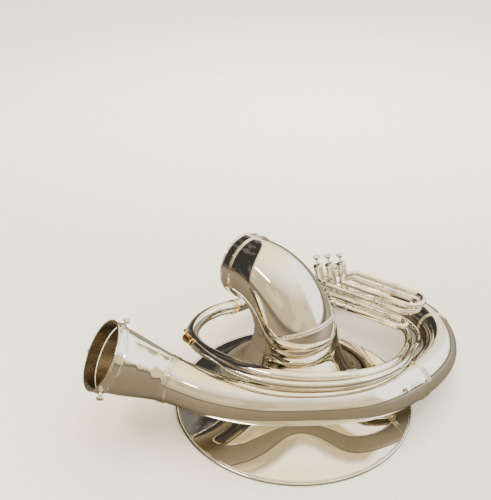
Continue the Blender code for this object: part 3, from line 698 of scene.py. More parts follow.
# --- horn body: the big branch ----------------------------------------------------------------
@dataclass
class BigBranch:
    """Receiver, collar with its clamp screws, and the big tube down to the back bow. A station is a
    point and a radius, in millimetres."""

    collar_length: float = 0.032
    collar_wall: float = 0.0030
    receiver_r: float = 0.0850 + 0.0018 + GAP + BODY_WALL
    cuts: tuple[float, ...] = (0.032, 0.190, 0.880, 1.250)
    screws: int = 3
    outward: tuple[float, float, float] = (-0.810806, -0.237054, 0.535163)
    stations: tuple[tuple[float, ...], ...] = (
        (-491, -133, 250, 88), (-459, -124, 229, 85), (-424, -117, 207, 79.5), (-375, -113, 182, 69),
        (-318, -121, 162, 59), (-218, -162, 149, 56), (-121, -190, 148, 54.5),
        (-35, -196.5, 147.5, 53), (102, -187, 144.5, 52), (196, -157, 136, 51), (298, -77, 117, 49.5),
        (388, 38, 94, 48.5), (430, 145, 76, 47), (438, 254, 60, 45), (412, 351, 48, 43),
        (335, 430, 40.8, 40), (200, 490, 37, 35.5), (60, 490, 42, 30), (-35, 450, 56, 25.5),
        (-104, 392, 75, 22), (-158, 332, 92, 20.5))

    def route(self) -> Route:
        """The branch's centreline, with the receiver's own radius at its mouth."""
        rows = np.array(self.stations) * MM
        rows[0, 3] = self.receiver_r
        fine = catmull_rom(rows)
        return Route(fine[:, :3], fine[:, 3])

    def build(self) -> Route:
        """Makes the branch's pieces and returns its centreline."""
        route = self.route()
        collar, neck, front, right = self.cuts
        spans = (("receiver", collar - 0.001, neck, 84, "bell_receiver"),
                 ("front_tube", neck, front, 72, "outer_branch_front"),
                 ("right_tube", front, right, 64, "outer_branch_right"),
                 ("rear_tube", right, route.length, 56, "outer_branch_rear"))
        for name, start, end, sides, node in spans:
            span = (start + SEAM, end - SEAM)
            tube(f"{name}_skin", HORN, route, span, BODY_WALL, sides, 0.0055, (node,))
        rings = (("receiver", neck, 0.026, 3, ("receiver_ferrule",)),
                 ("right", front, 0.020, 3, ("right_ferrule",)), ("rear", right, 0.016, 2, ()))
        for name, place, length, ridges, nodes in rings:
            ring = Ring(place, length, 0.0013, ridges, 0.0017)
            ferrules(f"{name}_ferrule_skin", BRIGHT, HORN, route, [ring], 72, nodes)
        self.build_collar(route)
        return route

    def build_collar(self, route: Route) -> None:
        """The receiver's thick collar, its rim bead, and a boss and knurled screw at each clamp."""
        mouth, outward = route.points[0], unit(self.outward)
        bore, outer = self.receiver_r - BODY_WALL, self.receiver_r + self.collar_wall
        turn = np.linspace(math.pi * 0.5, -math.pi * 0.5, 9)
        bead = [(outer + 0.0016 * math.cos(a), -0.0030 - 0.0028 * math.sin(a)) for a in turn]
        low = GAP - self.collar_length
        ridge = [(outer, -0.0240), (outer + 0.0009, -0.0250), (outer + 0.0009, -0.0262), (outer, -0.0272)]
        outline = [(outer - 0.0006, 0.0)] + bead + ridge
        outline += [(outer - 0.0004, low + 0.0006), (outer - 0.0010, low)]
        inner = [(bore, low), (bore, -self.collar_length / 2), (bore, -0.0005), (bore + 0.0006, 0.0)]
        lathe("collar_skin", [BRIGHT, BORE], HORN, (mouth, outward), outline + inner, 96,
              ("receiver_collar",), inner_from=len(outline) - 1)
        aside = unit(np.cross(outward, UP))
        up = unit(np.cross(aside, outward))
        middle = mouth - outward * self.collar_length * 0.45
        for index in range(self.screws):
            angle = math.radians(90.0 + 360.0 / self.screws * index)
            radial = unit(aside * math.cos(angle) + up * math.sin(angle))
            self.build_screw(index + 1, (middle + radial * outer, radial))

    def build_screw(self, number: int, axis: tuple[np.ndarray, np.ndarray]) -> None:
        """A boss on the collar, and the knurled thumbscrew in it with its threaded shank."""
        boss = mm((0, -1.2), (7.8, -1.2), (7.8, 0.6), (6.6, 2.2), (5.8, 4.4), (3.6, 5), (3.4, 3), (0, 3))
        lathe(f"collar_boss_{number}", TRIM, HORN, axis, boss, 36, bevel=0.0003)
        body = f"collar_screw_{number}"
        thread = mm(*((2.9 + 0.22 * math.cos(math.pi * k), 3.4 + 0.4 * k) for k in range(9)))
        shank = mm((4, 7.5), (4.7, 9.5), (4, 12.5), (4.4, 16.5), (6, 18.8), (0, 18.8))
        lathe(f"screw_shank_{number}", TRIM, body, axis, mm((0, 3.3)) + thread + shank, 28, (body,))
        head = mm((0, 18.6), (6.2, 18.6), (8.2, 19.6), (8.5, 20.4), (8.5, 23.6), (8, 24.3))
        head += ball_tip(0.0070, 0.0244, 0.0252, 5)
        lathe(f"screw_head_{number}", TRIM, body, axis, head, 96, fluting=(24, 0.022))


# --- horn body: the thin branch ---------------------------------------------------------------
@dataclass
class InnerBranch:
    """The thin tube from the back bow round to the crook, with its ferrules. A station is a point
    and a radius, in millimetres."""

    cuts: tuple[float, float] = (0.022, 0.860)
    stations: tuple[tuple[float, ...], ...] = (
        (-158, 332, 92, 19.5), (-222, 262, 118, 18.8), (-266, 170, 144, 18), (-278, 65, 169, 17.2),
        (-243, -33, 193, 16.8), (-171, -118, 214, 16.5), (-92, -172, 226, 16), (0, -196, 229, 15.2),
        (110, -184, 223, 14), (200, -136, 206, 12), (262, -62, 180, 10.5), (308, 46, 136, 9.7),
        (336, 138, 98, 9.5), (345, 215, 78, 9.5), (318, 268, 75, 9.5), (272, 303, 75, 9.5),
        (170, 376, 75, 9.5))

    def build(self) -> Route:
        """Makes both tubes and both ferrules, and returns the centreline."""
        fine = catmull_rom(np.array(self.stations) * MM)
        route = Route(fine[:, :3], fine[:, 3])
        back, front = self.cuts
        for side, span in (("left", (0.001, front - SEAM)), ("right", (front + SEAM, route.length))):
            tube(f"inner_{side}_skin", HORN, route, span, BODY_WALL, 36, 0.0050,
                 (f"inner_branch_{side}",))
        for side, finish, ring in (("back", BRASS, Ring(back, 0.022, 0.0013, 3, 0.0012)),
                                   ("front", BRIGHT, Ring(front, 0.030, 0.0011, 4, 0.0012))):
            name = f"inner_{side}_ferrule"
            ferrules(f"{name}_skin", finish, HORN, route, [ring], nodes=(name,))
        return route


# --- valves -----------------------------------------------------------------------------------
@dataclass
class ValveSet:
    """Three upright casings with caps, springs, pistons and finger buttons."""

    pitch: float = 0.0365
    axis: np.ndarray = field(default_factory=lambda: unit([-0.205, 0.035, 0.978]))
    middle: np.ndarray = field(default_factory=lambda: np.array([0.144, 0.4215, 0.125]))
    casing_r: float = 0.0135
    casing_wall: float = 0.0011
    casing_length: float = 0.116
    port_gap: float = 0.0022
    cap_r: float = 0.0150
    top_cap_h: float = 0.009
    bottom_cap_h: float = 0.010
    knurl: tuple[int, float] = (30, 0.010)
    stem_r: float = 0.0026
    clearance: float = 0.0003
    piston_length: float = 0.064
    travel: float = 0.018
    button_r: float = 0.0110
    button_h: float = 0.0040
    button_lift: float = 0.0235
    spring_r: float = 0.0080
    spring_wire: float = 0.0007
    spring_turns: int = 7
    knuckle_r: float = 0.0085
    knuckle_lifts: tuple[float, float] = (0.026, 0.010)

    @property
    def row(self) -> np.ndarray:
        """Direction from the third valve to the first, square to the casings."""
        return unit(np.cross([0.170, 0.985, 0.0], self.axis))

    @property
    def skin_reach(self) -> float:
        """How far from a casing's axis the tubes' own routes stop."""
        return self.casing_r + self.port_gap

    @property
    def piston_top(self) -> float:
        """The piston's upper end, from the casing's top."""
        return -self.travel * 0.15

    def centre(self, index: int) -> np.ndarray:
        """Half way up casing 1, 2 or 3; the first valve is nearest the slides."""
        return self.middle + self.row * self.pitch * (2 - index)

    def top(self, index: int) -> np.ndarray:
        """The middle of a casing's upper end."""
        return self.centre(index) + self.axis * self.casing_length / 2

    def at(self, index: int, height: float) -> np.ndarray:
        """Where a casing's axis crosses a height."""
        centre = self.centre(index)
        return centre + self.axis * (height - centre[2]) / self.axis[2]

    def seat(self, grid: np.ndarray, index: int) -> np.ndarray:
        """Ends a tube's grid on a casing: points nearer than the casing's skin to its axis are moved
        straight out from the axis to just under the skin."""
        away = grid - self.centre(index)
        spoke = away - (away @ self.axis)[..., None] * self.axis
        reach = np.linalg.norm(spoke, axis=-1, keepdims=True)
        skin = self.casing_r - 0.0004
        return grid + spoke / np.maximum(reach, 1e-6) * np.maximum(skin - reach, 0.0)

    def build(self) -> None:
        """Makes the three valves and the tubes between them."""
        for index in (1, 2, 3):
            name, axis = f"valve_{index}", (self.top(index), self.axis)
            self.build_casing(name, axis)
            self.build_caps(name, axis)
            self.build_piston(name, axis)
            self.build_button(name, axis)
            self.build_spring(name, axis[0])
        reach = self.pitch / 2 - self.casing_r + 0.0006
        for pair, height in enumerate(self.knuckle_lifts, 1):
            centre = (self.centre(pair) + self.centre(pair + 1)) / 2 + self.axis * height
            path = centre + self.row * np.linspace(-reach, reach, 5)[:, None]
            route = Route(path, np.full(5, self.knuckle_r))
            tube(f"knuckle_{pair}_skin", HORN, route, (0.0, 2 * reach), BODY_WALL, 36, 0.002,
                 (f"knuckle_{pair}",))

    def build_casing(self, name: str, axis: tuple[np.ndarray, np.ndarray]) -> None:
        """The casing with its turned bands."""
        length, bore = self.casing_length, self.casing_r - self.casing_wall
        swell = np.linspace(0.0, math.pi, 7)
        outline = [(self.casing_r, 0.0)]
        for place in (0.0065, 0.0100, length / 2, length - 0.0100, length - 0.0065):
            outline += [(self.casing_r + 0.0009 * math.sin(a), 0.0011 * math.cos(a) - place)
                        for a in swell]
        outline += [(self.casing_r, -length)]
        inside = [(bore, -length), (bore, -length / 2), (bore, 0.0)]
        lathe(f"{name}_casing_skin", PLATED, HORN, axis, outline + inside, 56, (f"{name}_casing",),
              inner_from=len(outline))

    def build_caps(self, name: str, axis: tuple[np.ndarray, np.ndarray]) -> None:
        """Both screwed caps, with their knurled edges."""
        hole, high, wide = 0.0044, self.top_cap_h, self.cap_r
        lid = [(hole, GAP), (wide - 0.0006, GAP), (wide, 0.0010), (wide, high * 0.46),
               (wide - 0.0007, high * 0.52), (wide - 0.0016, high * 0.62), (wide - 0.0045, high * 0.74),
               (hole + 0.0040, high * 0.80), (hole + 0.0030, high * 0.98), (hole + 0.0006, high),
               (hole, high - 0.0006)]
        lathe(f"{name}_top_cap_skin", TRIM, HORN, axis, lid, 120, (f"{name}_top_cap",), self.knurl)
        foot, low = axis[0] - self.axis * self.casing_length, -self.bottom_cap_h
        cup = [(0.0020, -GAP), (wide - 0.0006, -GAP), (wide, -0.0010), (wide, low * 0.45),
               (wide - 0.0009, low * 0.52), (wide * 0.86, low * 0.72), (wide * 0.62, low * 0.84),
               (wide * 0.30, low * 0.90), (wide * 0.26, low), (0.0020, low)]
        lathe(f"{name}_bottom_cap_skin", TRIM, HORN, (foot, self.axis), cup, 120,
              (f"{name}_bottom_cap",), self.knurl)

    def build_piston(self, name: str, axis: tuple[np.ndarray, np.ndarray]) -> None:
        """Piston and stem, and the felt that the button's stroke ends on."""
        radius, stem = self.casing_r - self.casing_wall - self.clearance, self.stem_r
        high, lift = self.piston_top, self.top_cap_h + self.button_lift
        low = high - self.piston_length
        outline = [(0.0, low), (radius - 0.0006, low), (radius, low + 0.0006), (radius, high - 0.0006),
                   (radius - 0.0006, high), (stem, high), (stem, lift - 0.0050),
                   (stem + 0.0009, lift - 0.0040), (stem + 0.0012, lift - 0.0008),
                   (stem + 0.0012, lift), (0.0, lift)]
        lathe(f"{name}_piston_skin", TRIM, name, axis, outline, 40, (f"{name}_piston",))
        felt = mm((stem / MM, 0), (6.2, 0), (6.6, 0.6), (6.6, 2), (6, 2.6), (stem / MM, 2.6))
        lathe(f"{name}_felt", [FELT], name, axis, lifted(felt, self.top_cap_h + self.travel + 0.0008), 40)

    def build_button(self, name: str, axis: tuple[np.ndarray, np.ndarray]) -> None:
        """The button, and the inlay in its top."""
        wide, high = self.button_r, self.button_h
        base = self.top_cap_h + self.button_lift + GAP
        button = [(0.0, 0.0), (wide * 0.42, 0.0), (wide * 0.82, 0.0009), (wide * 0.97, 0.0016),
                  (wide, 0.0024), (wide * 0.97, high - 0.0004), (wide * 0.90, high),
                  (wide * 0.80, high), (wide * 0.78, high - 0.0006), (0.0, high - 0.0008)]
        lathe(f"{name}_button_skin", TRIM, name, axis, lifted(button, base), 56, (f"{name}_button",))
        inlay = [(0.0, high - 0.0012), (wide * 0.77, high - 0.0012)]
        inlay += ball_tip(wide * 0.77, high - 0.0007, high + 0.0002, 7)
        lathe(f"{name}_pearl", [PEARL], name, axis, lifted(inlay, base), 48)

    def build_spring(self, name: str, top: np.ndarray) -> None:
        """A coil under the piston: a wire's circle carried along a helix."""
        wire = self.spring_wire
        low = -self.casing_length + wire + GAP
        high = self.piston_top - self.piston_length - wire - GAP
        share = np.linspace(0.0, 1.0, self.spring_turns * 24)
        angle = share * self.spring_turns * 2 * math.pi
        first = unit(np.cross(self.axis, [0.0, 1.0, 0.0]))
        second = np.cross(self.axis, first)
        path = top + self.axis * (low + (high - low) * share)[:, None]
        path = path + self.spring_r * (np.cos(angle)[:, None] * first + np.sin(angle)[:, None] * second)
        route = Route(path, np.full(len(path), wire), self.axis)
        grid = route.around(route.along[[0, *range(len(path)), -1]], np.r_[0.0, route.radii, 0.0], 10)
        spring = Surface().ring(grid, closed=False).make(
            f"{name}_spring_skin", [STEEL], HORN, (f"{name}_spring",))
        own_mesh(spring)


# --- mouthpipe --------------------------------------------------------------------------------
@dataclass
class Mouthpipe:
    """The pipe from the brass socket, over the branches, to the first valve; stations are points in
    millimetres."""

    radius: float = 0.0085
    wall: float = 0.0010
    socket_length: float = 0.050
    socket_wall: float = 0.0022
    stations: tuple[tuple[float, float, float], ...] = (
        (-262, -52, 222), (-226, -108, 230), (-162, -172, 233), (-90, -214, 235), (-2, -232, 235),
        (106, -219, 229), (205, -166, 214), (276, -81, 186), (328, 40, 146), (358, 115, 108),
        (376, 205, 80), (350, 272, 78), (290, 320, 81), (222, 369, 90))

    def build(self, valves: ValveSet) -> None:
        """Makes the pipe with its rings, then its socket and the socket's screw."""
        stations = np.array(self.stations) * MM
        port = valves.at(1, stations[-1, 2])
        end = port - unit(port - stations[-1]) * valves.skin_reach
        fine = catmull_rom([*stations, end])
        route = Route(fine, np.full(len(fine), self.radius))
        tube("mouthpipe_skin", HORN, route, (0.0, route.length + PORT_REACH), self.wall, 32, 0.0045,
             ("mouthpipe",), lambda grid: valves.seat(grid, 1))
        ferrules("mouthpipe_rings", BRIGHT, HORN, route, [
            Ring(route.length - 0.010, 0.009), Ring(route.length * 0.5, 0.024, 0.0009, 2, 0.0009)])
        self.build_socket(route.points[0], unit(route.points[0] - route.points[1]))

    def build_socket(self, mouth: np.ndarray, back: np.ndarray) -> None:
        """The brass socket on the pipe's open end, and the knurled screw that clamps in it."""
        bore, wall, length = self.radius - self.wall + 0.0006, self.socket_wall, self.socket_length
        outline = [(bore + wall * 0.5, 0.0), (bore + wall, 0.0008), (bore + wall, 0.010)]
        outline += [(bore + wall * (1 + 0.28 * math.sin(math.pi * k / 4) ** 2), 0.010 + 0.0022 * k / 4)
                    for k in range(9)]
        lip = ((1, 0.0165 - length), (1, -0.012), (1.15, -0.010), (1.6, -0.008), (1.6, -0.0015), (1.3, 0))
        outline += [(bore + wall * share, length + before) for share, before in lip]
        inside = [(bore + 0.0004, length), (bore, length - 0.0006), (bore, length / 2), (bore, 0.0)]
        lathe("mouthpipe_socket_skin", [BRASS, BORE], HORN, (mouth + back * GAP, back),
              outline + inside, 56, ("mouthpipe_socket",), inner_from=len(outline))
        out = unit(np.cross(np.cross(back, UP), back))
        foot = mouth + back * (length - 0.004) + out * (bore + wall * 1.6 + GAP)
        knob = mm((0, -0.2), (2.1, -0.2), (2.1, 6.2), (4.2, 7.2), (5.8, 8.2), (6, 9), (6, 11.5))
        lathe("socket_screw_skin", [BRASS], Body.SOCKET_SCREW.value, (foot, out),
              knob + ball_tip(0.0056, 0.0117, 0.0130, 6), 60, ("socket_screw",), fluting=(15, 0.03))


# --- slides -----------------------------------------------------------------------------------
OUT = unit([0.806, -0.592, 0.0])
ACROSS = unit([0.592, 0.806, 0.0])


def slide_point(s: float, n: float, z: float) -> np.ndarray:
    """A point by its distance out along the slides, across them, and up."""
    return OUT * s + ACROSS * n + UP * z


class SlideName(Enum):
    """The four tuning slides."""

    FIRST = "first"
    THIRD = "third"
    MAIN = "main"
    SECOND = "second"


@dataclass
class Slide:
    """One tuning slide: two fixed legs, and the crook that pulls out."""

    name: SlideName
    radius: float
    valves: ValveSet
    wall: float = 0.0010
    overlap: float = 0.075
    pull: bool = True

    def build_pair(self, z: float, across: tuple[float, float], leg_end: float, tip: float,
                   entries: tuple[list[tuple[float, float]], ...], ports: tuple[int, int]) -> None:
        """Makes both legs with their bent entries, and the crook in front of them.

        Args:
            z: The slide's height.
            across: Where the near and the far leg lie.
            leg_end: Where the legs end along the slides.
            tip: Where the crook's bow ends.
            entries: First points of the near leg and of the far one, along and across.
            ports: The casing each leg is soldered to, or 0 for none.
        """
        for side, n, entry, port in zip(("near", "far"), across, entries, ports):
            bend = entry + [(entry[-1][0] + 0.012, n), (entry[-1][0] + 0.024, n)]
            fine = catmull_rom([slide_point(s, place, z) for s, place in bend], 12)
            path = np.vstack([fine, slide_point(leg_end, n, z)[None]])
            self.build_leg(side, path, port)
        bow_r = (across[1] - across[0]) / 2
        bow_s = tip - bow_r - self.radius
        self.build_crook(slide_point(bow_s, sum(across) / 2, z), OUT, -ACROSS, bow_r, leg_end - bow_s)

    def build_leg(self, side: str, path: np.ndarray, port: int) -> None:
        """A fixed leg with the ferrule at its mouth, and a thin one where it leaves its bend.

        Args:
            side: Which of the two legs.
            path: Its centreline.
            port: The casing it is soldered to, or 0 for none.
        """
        route = Route(path, np.full(len(path), self.radius))
        start = -PORT_REACH if port else 0.0
        seat = (lambda grid: self.valves.seat(grid, port)) if port else None
        name = self.name.value
        tube(f"{name}_{side}_leg_skin", HORN, route, (start, route.length), self.wall, 40, 0.0025,
             (f"{name}_slide_{side}_leg",), seat)
        rings = [Ring(route.length - 0.0055, 0.010)]
        if route.length > 0.06:
            rings.append(Ring(0.034, 0.008, ridges=1, height=0.0006))
        ferrules(f"{name}_{side}_leg_rings", BRIGHT, HORN, route, rings)

    def build_crook(self, centre: np.ndarray, out: np.ndarray, side: np.ndarray, bow_r: float,
                    leg_end: float) -> None:
        """The sliding half: a half-circle bow, thinner legs inside the fixed ones, rings and a knob.

        Args:
            centre: Middle of the half circle.
            out: Direction in which it is drawn.
            side: Direction of its first leg from the middle.
            bow_r: Radius of the half circle.
            leg_end: Where the fixed legs end, from the middle along out.
        """
        inner_r = (self.radius - self.wall) * math.cos(math.pi / 10) - 0.0003
        turn = np.linspace(0.0, math.pi, 40)[:, None]
        bow = centre + (side * np.cos(turn) + out * np.sin(turn)) * bow_r
        legs = leg_end + np.array([-self.overlap, -self.overlap * 0.5, GAP, 0.0014])[:, None]
        wide = np.array([inner_r, inner_r, inner_r, self.radius])
        first, last = centre + side * bow_r, centre - side * bow_r
        straight = np.zeros((0, 3))
        if leg_end < -0.004:
            straight = np.linspace(leg_end + 0.0016, -0.0005, 6)[:, None] * out
        path = np.vstack([first + legs * out, first + straight, bow, last + straight[::-1],
                          last + legs[::-1] * out])
        radii = np.concatenate([wide, np.full(len(path) - 8, self.radius), wide[::-1]])
        route = Route(path, radii)
        places = np.concatenate([route.along, route.along[::-1]])
        walls = np.concatenate([radii, radii[::-1] - self.wall * 0.8])
        name, body = self.name.value, f"{self.name.value}_slide"
        surface = Surface().ring(route.around(places, walls, 32), len(path) - 1)
        surface.make(f"{name}_crook_skin", PLATED, body, (f"{body}_crook",))
        start = route.along[3] + 0.0055
        rings = [Ring(start, 0.0095), Ring(route.length - start, 0.0095)]
        ferrules(f"{name}_crook_rings", BRIGHT, body, route, rings)
        if self.pull:
            knob = mm((0, -1), (3.6, -1), (3.4, 0.4), (1.8, 2.2), (1.6, 5), (2.2, 6.2), (4, 7))
            lathe(f"{name}_pull_knob", TRIM, body, (centre + out * (bow_r - self.radius * 0.9), -out),
                  knob + ball_tip(0.0044, 0.0078, 0.0106, 6), 32)


@dataclass
class SlideSet:
    """The four tuning slides, and the crook that leads into the main one."""

    valves: ValveSet
    side_far: float = 0.470
    side_r: float = 0.0085
    first_near: float = 0.395
    first_z: float = 0.155
    third_near: float = 0.390
    third_z: float = 0.131
    main_r: float = 0.0092
    main_near: float = 0.348
    main_far: float = 0.388
    main_z: float = 0.105
    main_start: float = -0.070
    second_r: float = 0.0070
    second_half: float = 0.0098
    second_z: float = 0.156
    second_leg: float = 0.043

    def valve_at(self, index: int, height: float) -> tuple[float, float]:
        """A casing's place at a height, along and across the slides."""
        point = self.valves.at(index, height)
        return float(point @ OUT), float(point @ ACROSS)

    def build(self, inner: Route) -> None:
        """Makes the slides. The inner branch's route says where its crook starts."""
        reach, far = self.valves.skin_reach, self.side_far
        s, n = self.valve_at(1, self.first_z)
        Slide(SlideName.FIRST, self.side_r, self.valves).build_pair(
            self.first_z, (self.first_near, far), 0.060, 0.176,
            ([(s + 0.007, n - reach + 0.002), (s + 0.011, n - reach - 0.010)],
             [(s + 0.013, n + reach * 0.75), (s + 0.024, far - 0.004)]), (1, 1))
        s, n = self.valve_at(3, self.third_z)
        Slide(SlideName.THIRD, self.side_r, self.valves).build_pair(
            self.third_z, (self.third_near, far), 0.060, 0.166,
            ([(s + 0.003, n - reach * 0.55), (s + 0.012, n - reach + 0.001), (s + 0.024, n - reach)],
             [(s + 0.001, n + reach - 0.001), (s + 0.007, n + reach + 0.022), (s + 0.022, far - 0.004)]),
            (3, 3))
        s, n = self.valve_at(3, self.main_z)
        Slide(SlideName.MAIN, self.main_r, self.valves).build_pair(
            self.main_z, (self.main_near, self.main_far), 0.085, 0.158,
            ([(self.main_start + GAP, self.main_near), (self.main_start + 0.010, self.main_near)],
             [(s + 0.015, n - reach * 0.8), (s + 0.028, self.main_far + 0.001)]), (0, 3))
        self.build_second()
        self.build_tuning_crook(inner)

    def build_second(self) -> None:
        """The short slide behind the middle casing, and the stubs that carry it."""
        valve_s, valve_n = self.valve_at(2, self.second_z)
        end, start = valve_n + self.second_leg, valve_n + self.valves.casing_r + 0.0020
        overlap = self.second_leg - self.valves.casing_r - 0.008
        slide = Slide(SlideName.SECOND, self.second_r, self.valves, overlap=overlap, pull=False)
        for side, s in (("left", valve_s - self.second_half), ("right", valve_s + self.second_half)):
            foot, mouth = (slide_point(s, n, self.second_z) for n in (start, end))
            slide.build_leg(side, np.linspace(foot, mouth, 9), 2)
        centre = slide_point(valve_s, end + 0.004, self.second_z)
        slide.build_crook(centre, ACROSS, -OUT, self.second_half, -0.004)

    def build_tuning_crook(self, inner: Route) -> None:
        """The crook that lifts the inner branch up and back into the main slide's near leg."""
        start = inner.points[-1]
        back = unit(inner.points[-1] - inner.points[-2])
        leg = slide_point(self.main_start, self.main_near, self.main_z)
        finish = leg + back * float((start - leg) @ back)
        middle, across = (start + finish) / 2, (start - finish) / 2
        turn = np.linspace(0.0, math.pi, 40)[:, None]
        lift = float(np.linalg.norm(across))
        bow = middle + back * 0.005 + across * np.cos(turn) + back * lift * np.sin(turn)
        path = np.vstack([start[None], bow, finish[None], leg[None]])
        route = Route(path, np.full(len(path), float(inner.radii[-1])), unit(np.cross(across, back)))
        tube("tuning_crook_skin", HORN, route, (0.0, route.length), 0.001, 36, 0.0030,
             ("tuning_crook",))
        ferrules("tuning_crook_rings", BRIGHT, HORN, route, [
            Ring(place, 0.010, 0.0009) for place in (0.0045, route.length - 0.0045)])


# --- small fittings ---------------------------------------------------------------------------
@dataclass
class Fittings:
    """Thumb ring, braces and the water key."""

    slides: SlideSet
    ring_r: float = 0.0125
    wire_r: float = 0.0018
    brace_r: float = 0.0022
    brace_s: float = 0.030
    stay_s: float = 0.020
    ring_s: float = -0.010
    key_before_joint: float = 0.060
    key_facing: tuple[float, float, float] = (0.10, -0.80, 0.60)
    key_arm: float = 0.034
    key_width: float = 0.0050
    key_thick: float = 0.0022
    key_pad: float = 0.0070
    key_lift: float = 0.0060

    def build(self, branch: Route, joint: float) -> None:
        """Makes all the small fittings."""
        parts = self.slides
        self.build_thumb_ring()
        low = slide_point(self.brace_s, parts.main_near, parts.main_z)
        high = slide_point(self.brace_s + 0.006, parts.first_near, parts.first_z)
        self.build_brace("slide_brace_skin", low, high, parts.main_r, parts.side_r, ("slide_brace",))
        low, high = (slide_point(self.stay_s, parts.side_far, z) for z in (parts.third_z, parts.first_z))
        self.build_brace("slide_stay_far", low, high, parts.side_r, parts.side_r, ())
        self.build_key(branch, joint - self.key_before_joint)

    def build_thumb_ring(self) -> None:
        """The ring for the thumb, soldered to the main slide's near leg on a small foot."""
        parts = self.slides
        rise = parts.main_z + parts.main_r + self.wire_r + GAP
        centre = slide_point(self.ring_s, parts.main_near + self.ring_r, rise)
        surface = Surface().ring(torus(centre, UP, self.ring_r, self.wire_r, 64, 20))
        surface.make("thumb_ring_skin", TRIM, HORN, ("thumb_ring",))
        base = slide_point(self.ring_s, parts.main_near, parts.main_z + parts.main_r - 0.0014)
        foot = mm((0, 0), (5.2, 0), (4.8, 1.2), (2.6, 2.2), (0, 2.2))
        lathe("thumb_ring_foot", TRIM, HORN, (base, UP), foot, 32)

    def build_brace(self, name: str, low: np.ndarray, high: np.ndarray, low_r: float, high_r: float,
                    nodes: tuple[str, ...]) -> None:
        """A turned rod between two tubes, waisted, with a bead in the middle and a flange each end."""
        start, end = low_r - 0.0006, float(np.linalg.norm(high - low)) - high_r + 0.0006
        share = np.linspace(0.0, 1.0, 41)
        flange = 0.0024 * (np.exp(-share / 0.05) + np.exp(-(1 - share) / 0.05))
        bead = 0.0011 * np.exp(-((share - 0.5) / 0.05) ** 2)
        radii = self.brace_r * 0.8 + flange + bead
        outline = [(0.0, start), *zip(radii, start + (end - start) * share), (0.0, end)]
        lathe(name, TRIM, HORN, (low, unit(high - low)), outline, 32, nodes)

    def build_key(self, branch: Route, place: float) -> None:
        """Water key: saddle, pin and nipple on the tube, and the lever with its cup and cork."""
        point, ahead, base = branch.read(branch.points, [place, place + 0.01, place - self.key_arm])
        along = unit(ahead - point)
        out = unit(self.key_facing - along * float(self.key_facing @ along))
        across = np.cross(out, along)
        skin = point + out * (float(branch.radius(place)) + GAP)
        pivot = skin + out * (self.key_lift + GAP + self.key_thick / 2)
        cup = pivot - along * self.key_arm
        post = mm((0, -1.6), (6, -1.6), (5.6, -0.2), (3, 1.2), (2.2, 3), (2.2, 5.2), (0, 5.6))
        lathe("key_saddle_skin", TRIM, HORN, (skin, out), post, 32, ("water_key_saddle",))
        lathe("key_pin", [STEEL], KEY, (pivot, across), mm((0, -4.6), (1, -4.4), (1, 4.4), (0, 4.6)), 20)
        low = float(branch.radius(place - self.key_arm))
        top = float(np.linalg.norm(cup - base)) - self.key_thick / 2 - 0.0016
        nipple = [(0.0, low - 0.002), (0.0058, low - 0.002), (0.0050, low + 0.0012),
                  (0.0042, top - 0.0006), (0.0040, top), (0.0026, top), (0.0024, low), (0.0, low)]
        lathe("key_nipple", TRIM, HORN, (base, unit(cup - base)), nipple, 32)
        cork = mm((0, 0), (5, 0), (5.2, -1.2), (0, -1.2))
        lathe("key_cork_pad", [CORK], KEY, (cup - out * self.key_thick / 2, out), cork, 32)
        self.build_lever(pivot, along, across, out)

    def build_lever(self, pivot: np.ndarray, along: np.ndarray, across: np.ndarray,
                    out: np.ndarray) -> None:
        """The lever: a lens-shaped section carried along the arm, its half width a sum of a cup at
        one end, a slim waist and a finger touch at the other."""
        share = np.linspace(-1.0, 1.0, 81)
        edge = 1.0 - np.abs(share)
        arm = self.key_arm
        place = np.where(share < 0, share * (arm + self.key_pad), share * arm)
        widths = (self.lobe(place, -arm, self.key_pad, self.key_pad),
                  self.lobe(place, arm * 0.80, arm * 0.20, 0.0042), self.lobe(place, 0.0, 0.0040, 0.0034),
                  self.key_width / 2 * np.clip(edge / 0.12, 0.0, 1.0) ** 0.5 * 0.8)
        half = np.max(widths, axis=0)
        thick = self.key_thick / 2 * np.clip(edge / 0.04, 0.0, 1.0) ** 0.5
        angle = np.linspace(0.0, 2 * math.pi, 28, endpoint=False)
        wide = np.sign(np.cos(angle)) * np.abs(np.cos(angle)) ** 0.6
        tall = np.sign(np.sin(angle)) * np.abs(np.sin(angle)) ** 0.8
        grid = (pivot + along * place[:, None, None] + across * (half[:, None] * wide)[..., None]
                + out * (thick[:, None] * tall)[..., None])
        Surface().ring(grid, closed=False).make("water_key_skin", TRIM, KEY, ("water_key_lever",))

    def lobe(self, place: np.ndarray, middle: float, reach: float, height: float) -> np.ndarray:
        """Half an ellipse of a given reach and height about a middle, and zero outside it."""
        return height * np.sqrt(np.clip(1 - ((place - middle) / reach) ** 2, 0.0, 1.0))


# --- studio -----------------------------------------------------------------------------------
@dataclass(frozen=True)
class Softbox:
    """A rectangular soft light: its place, what it faces, its size, power and colour."""

    name: str
    place: tuple[float, float, float]
    target: tuple[float, float, float]
    size: tuple[float, float]
    power: float
    colour: tuple[float, float, float]

    def build(self) -> None:
        """Makes the light, turned to face its target."""
        lamp = bpy.data.lights.new(self.name, "AREA")
        lamp.shape = "RECTANGLE"
        lamp.size, lamp.size_y = self.size
        lamp.energy = self.power
        lamp.color = self.colour
        made = bpy.data.objects.new(self.name, lamp)
        way = unit(np.array(self.target) - np.array(self.place))
        made.location = self.place
        made.rotation_euler = (math.acos(-way[2]), 0.0, math.atan2(way[0], -way[1]))
        bpy.context.scene.collection.objects.link(made)


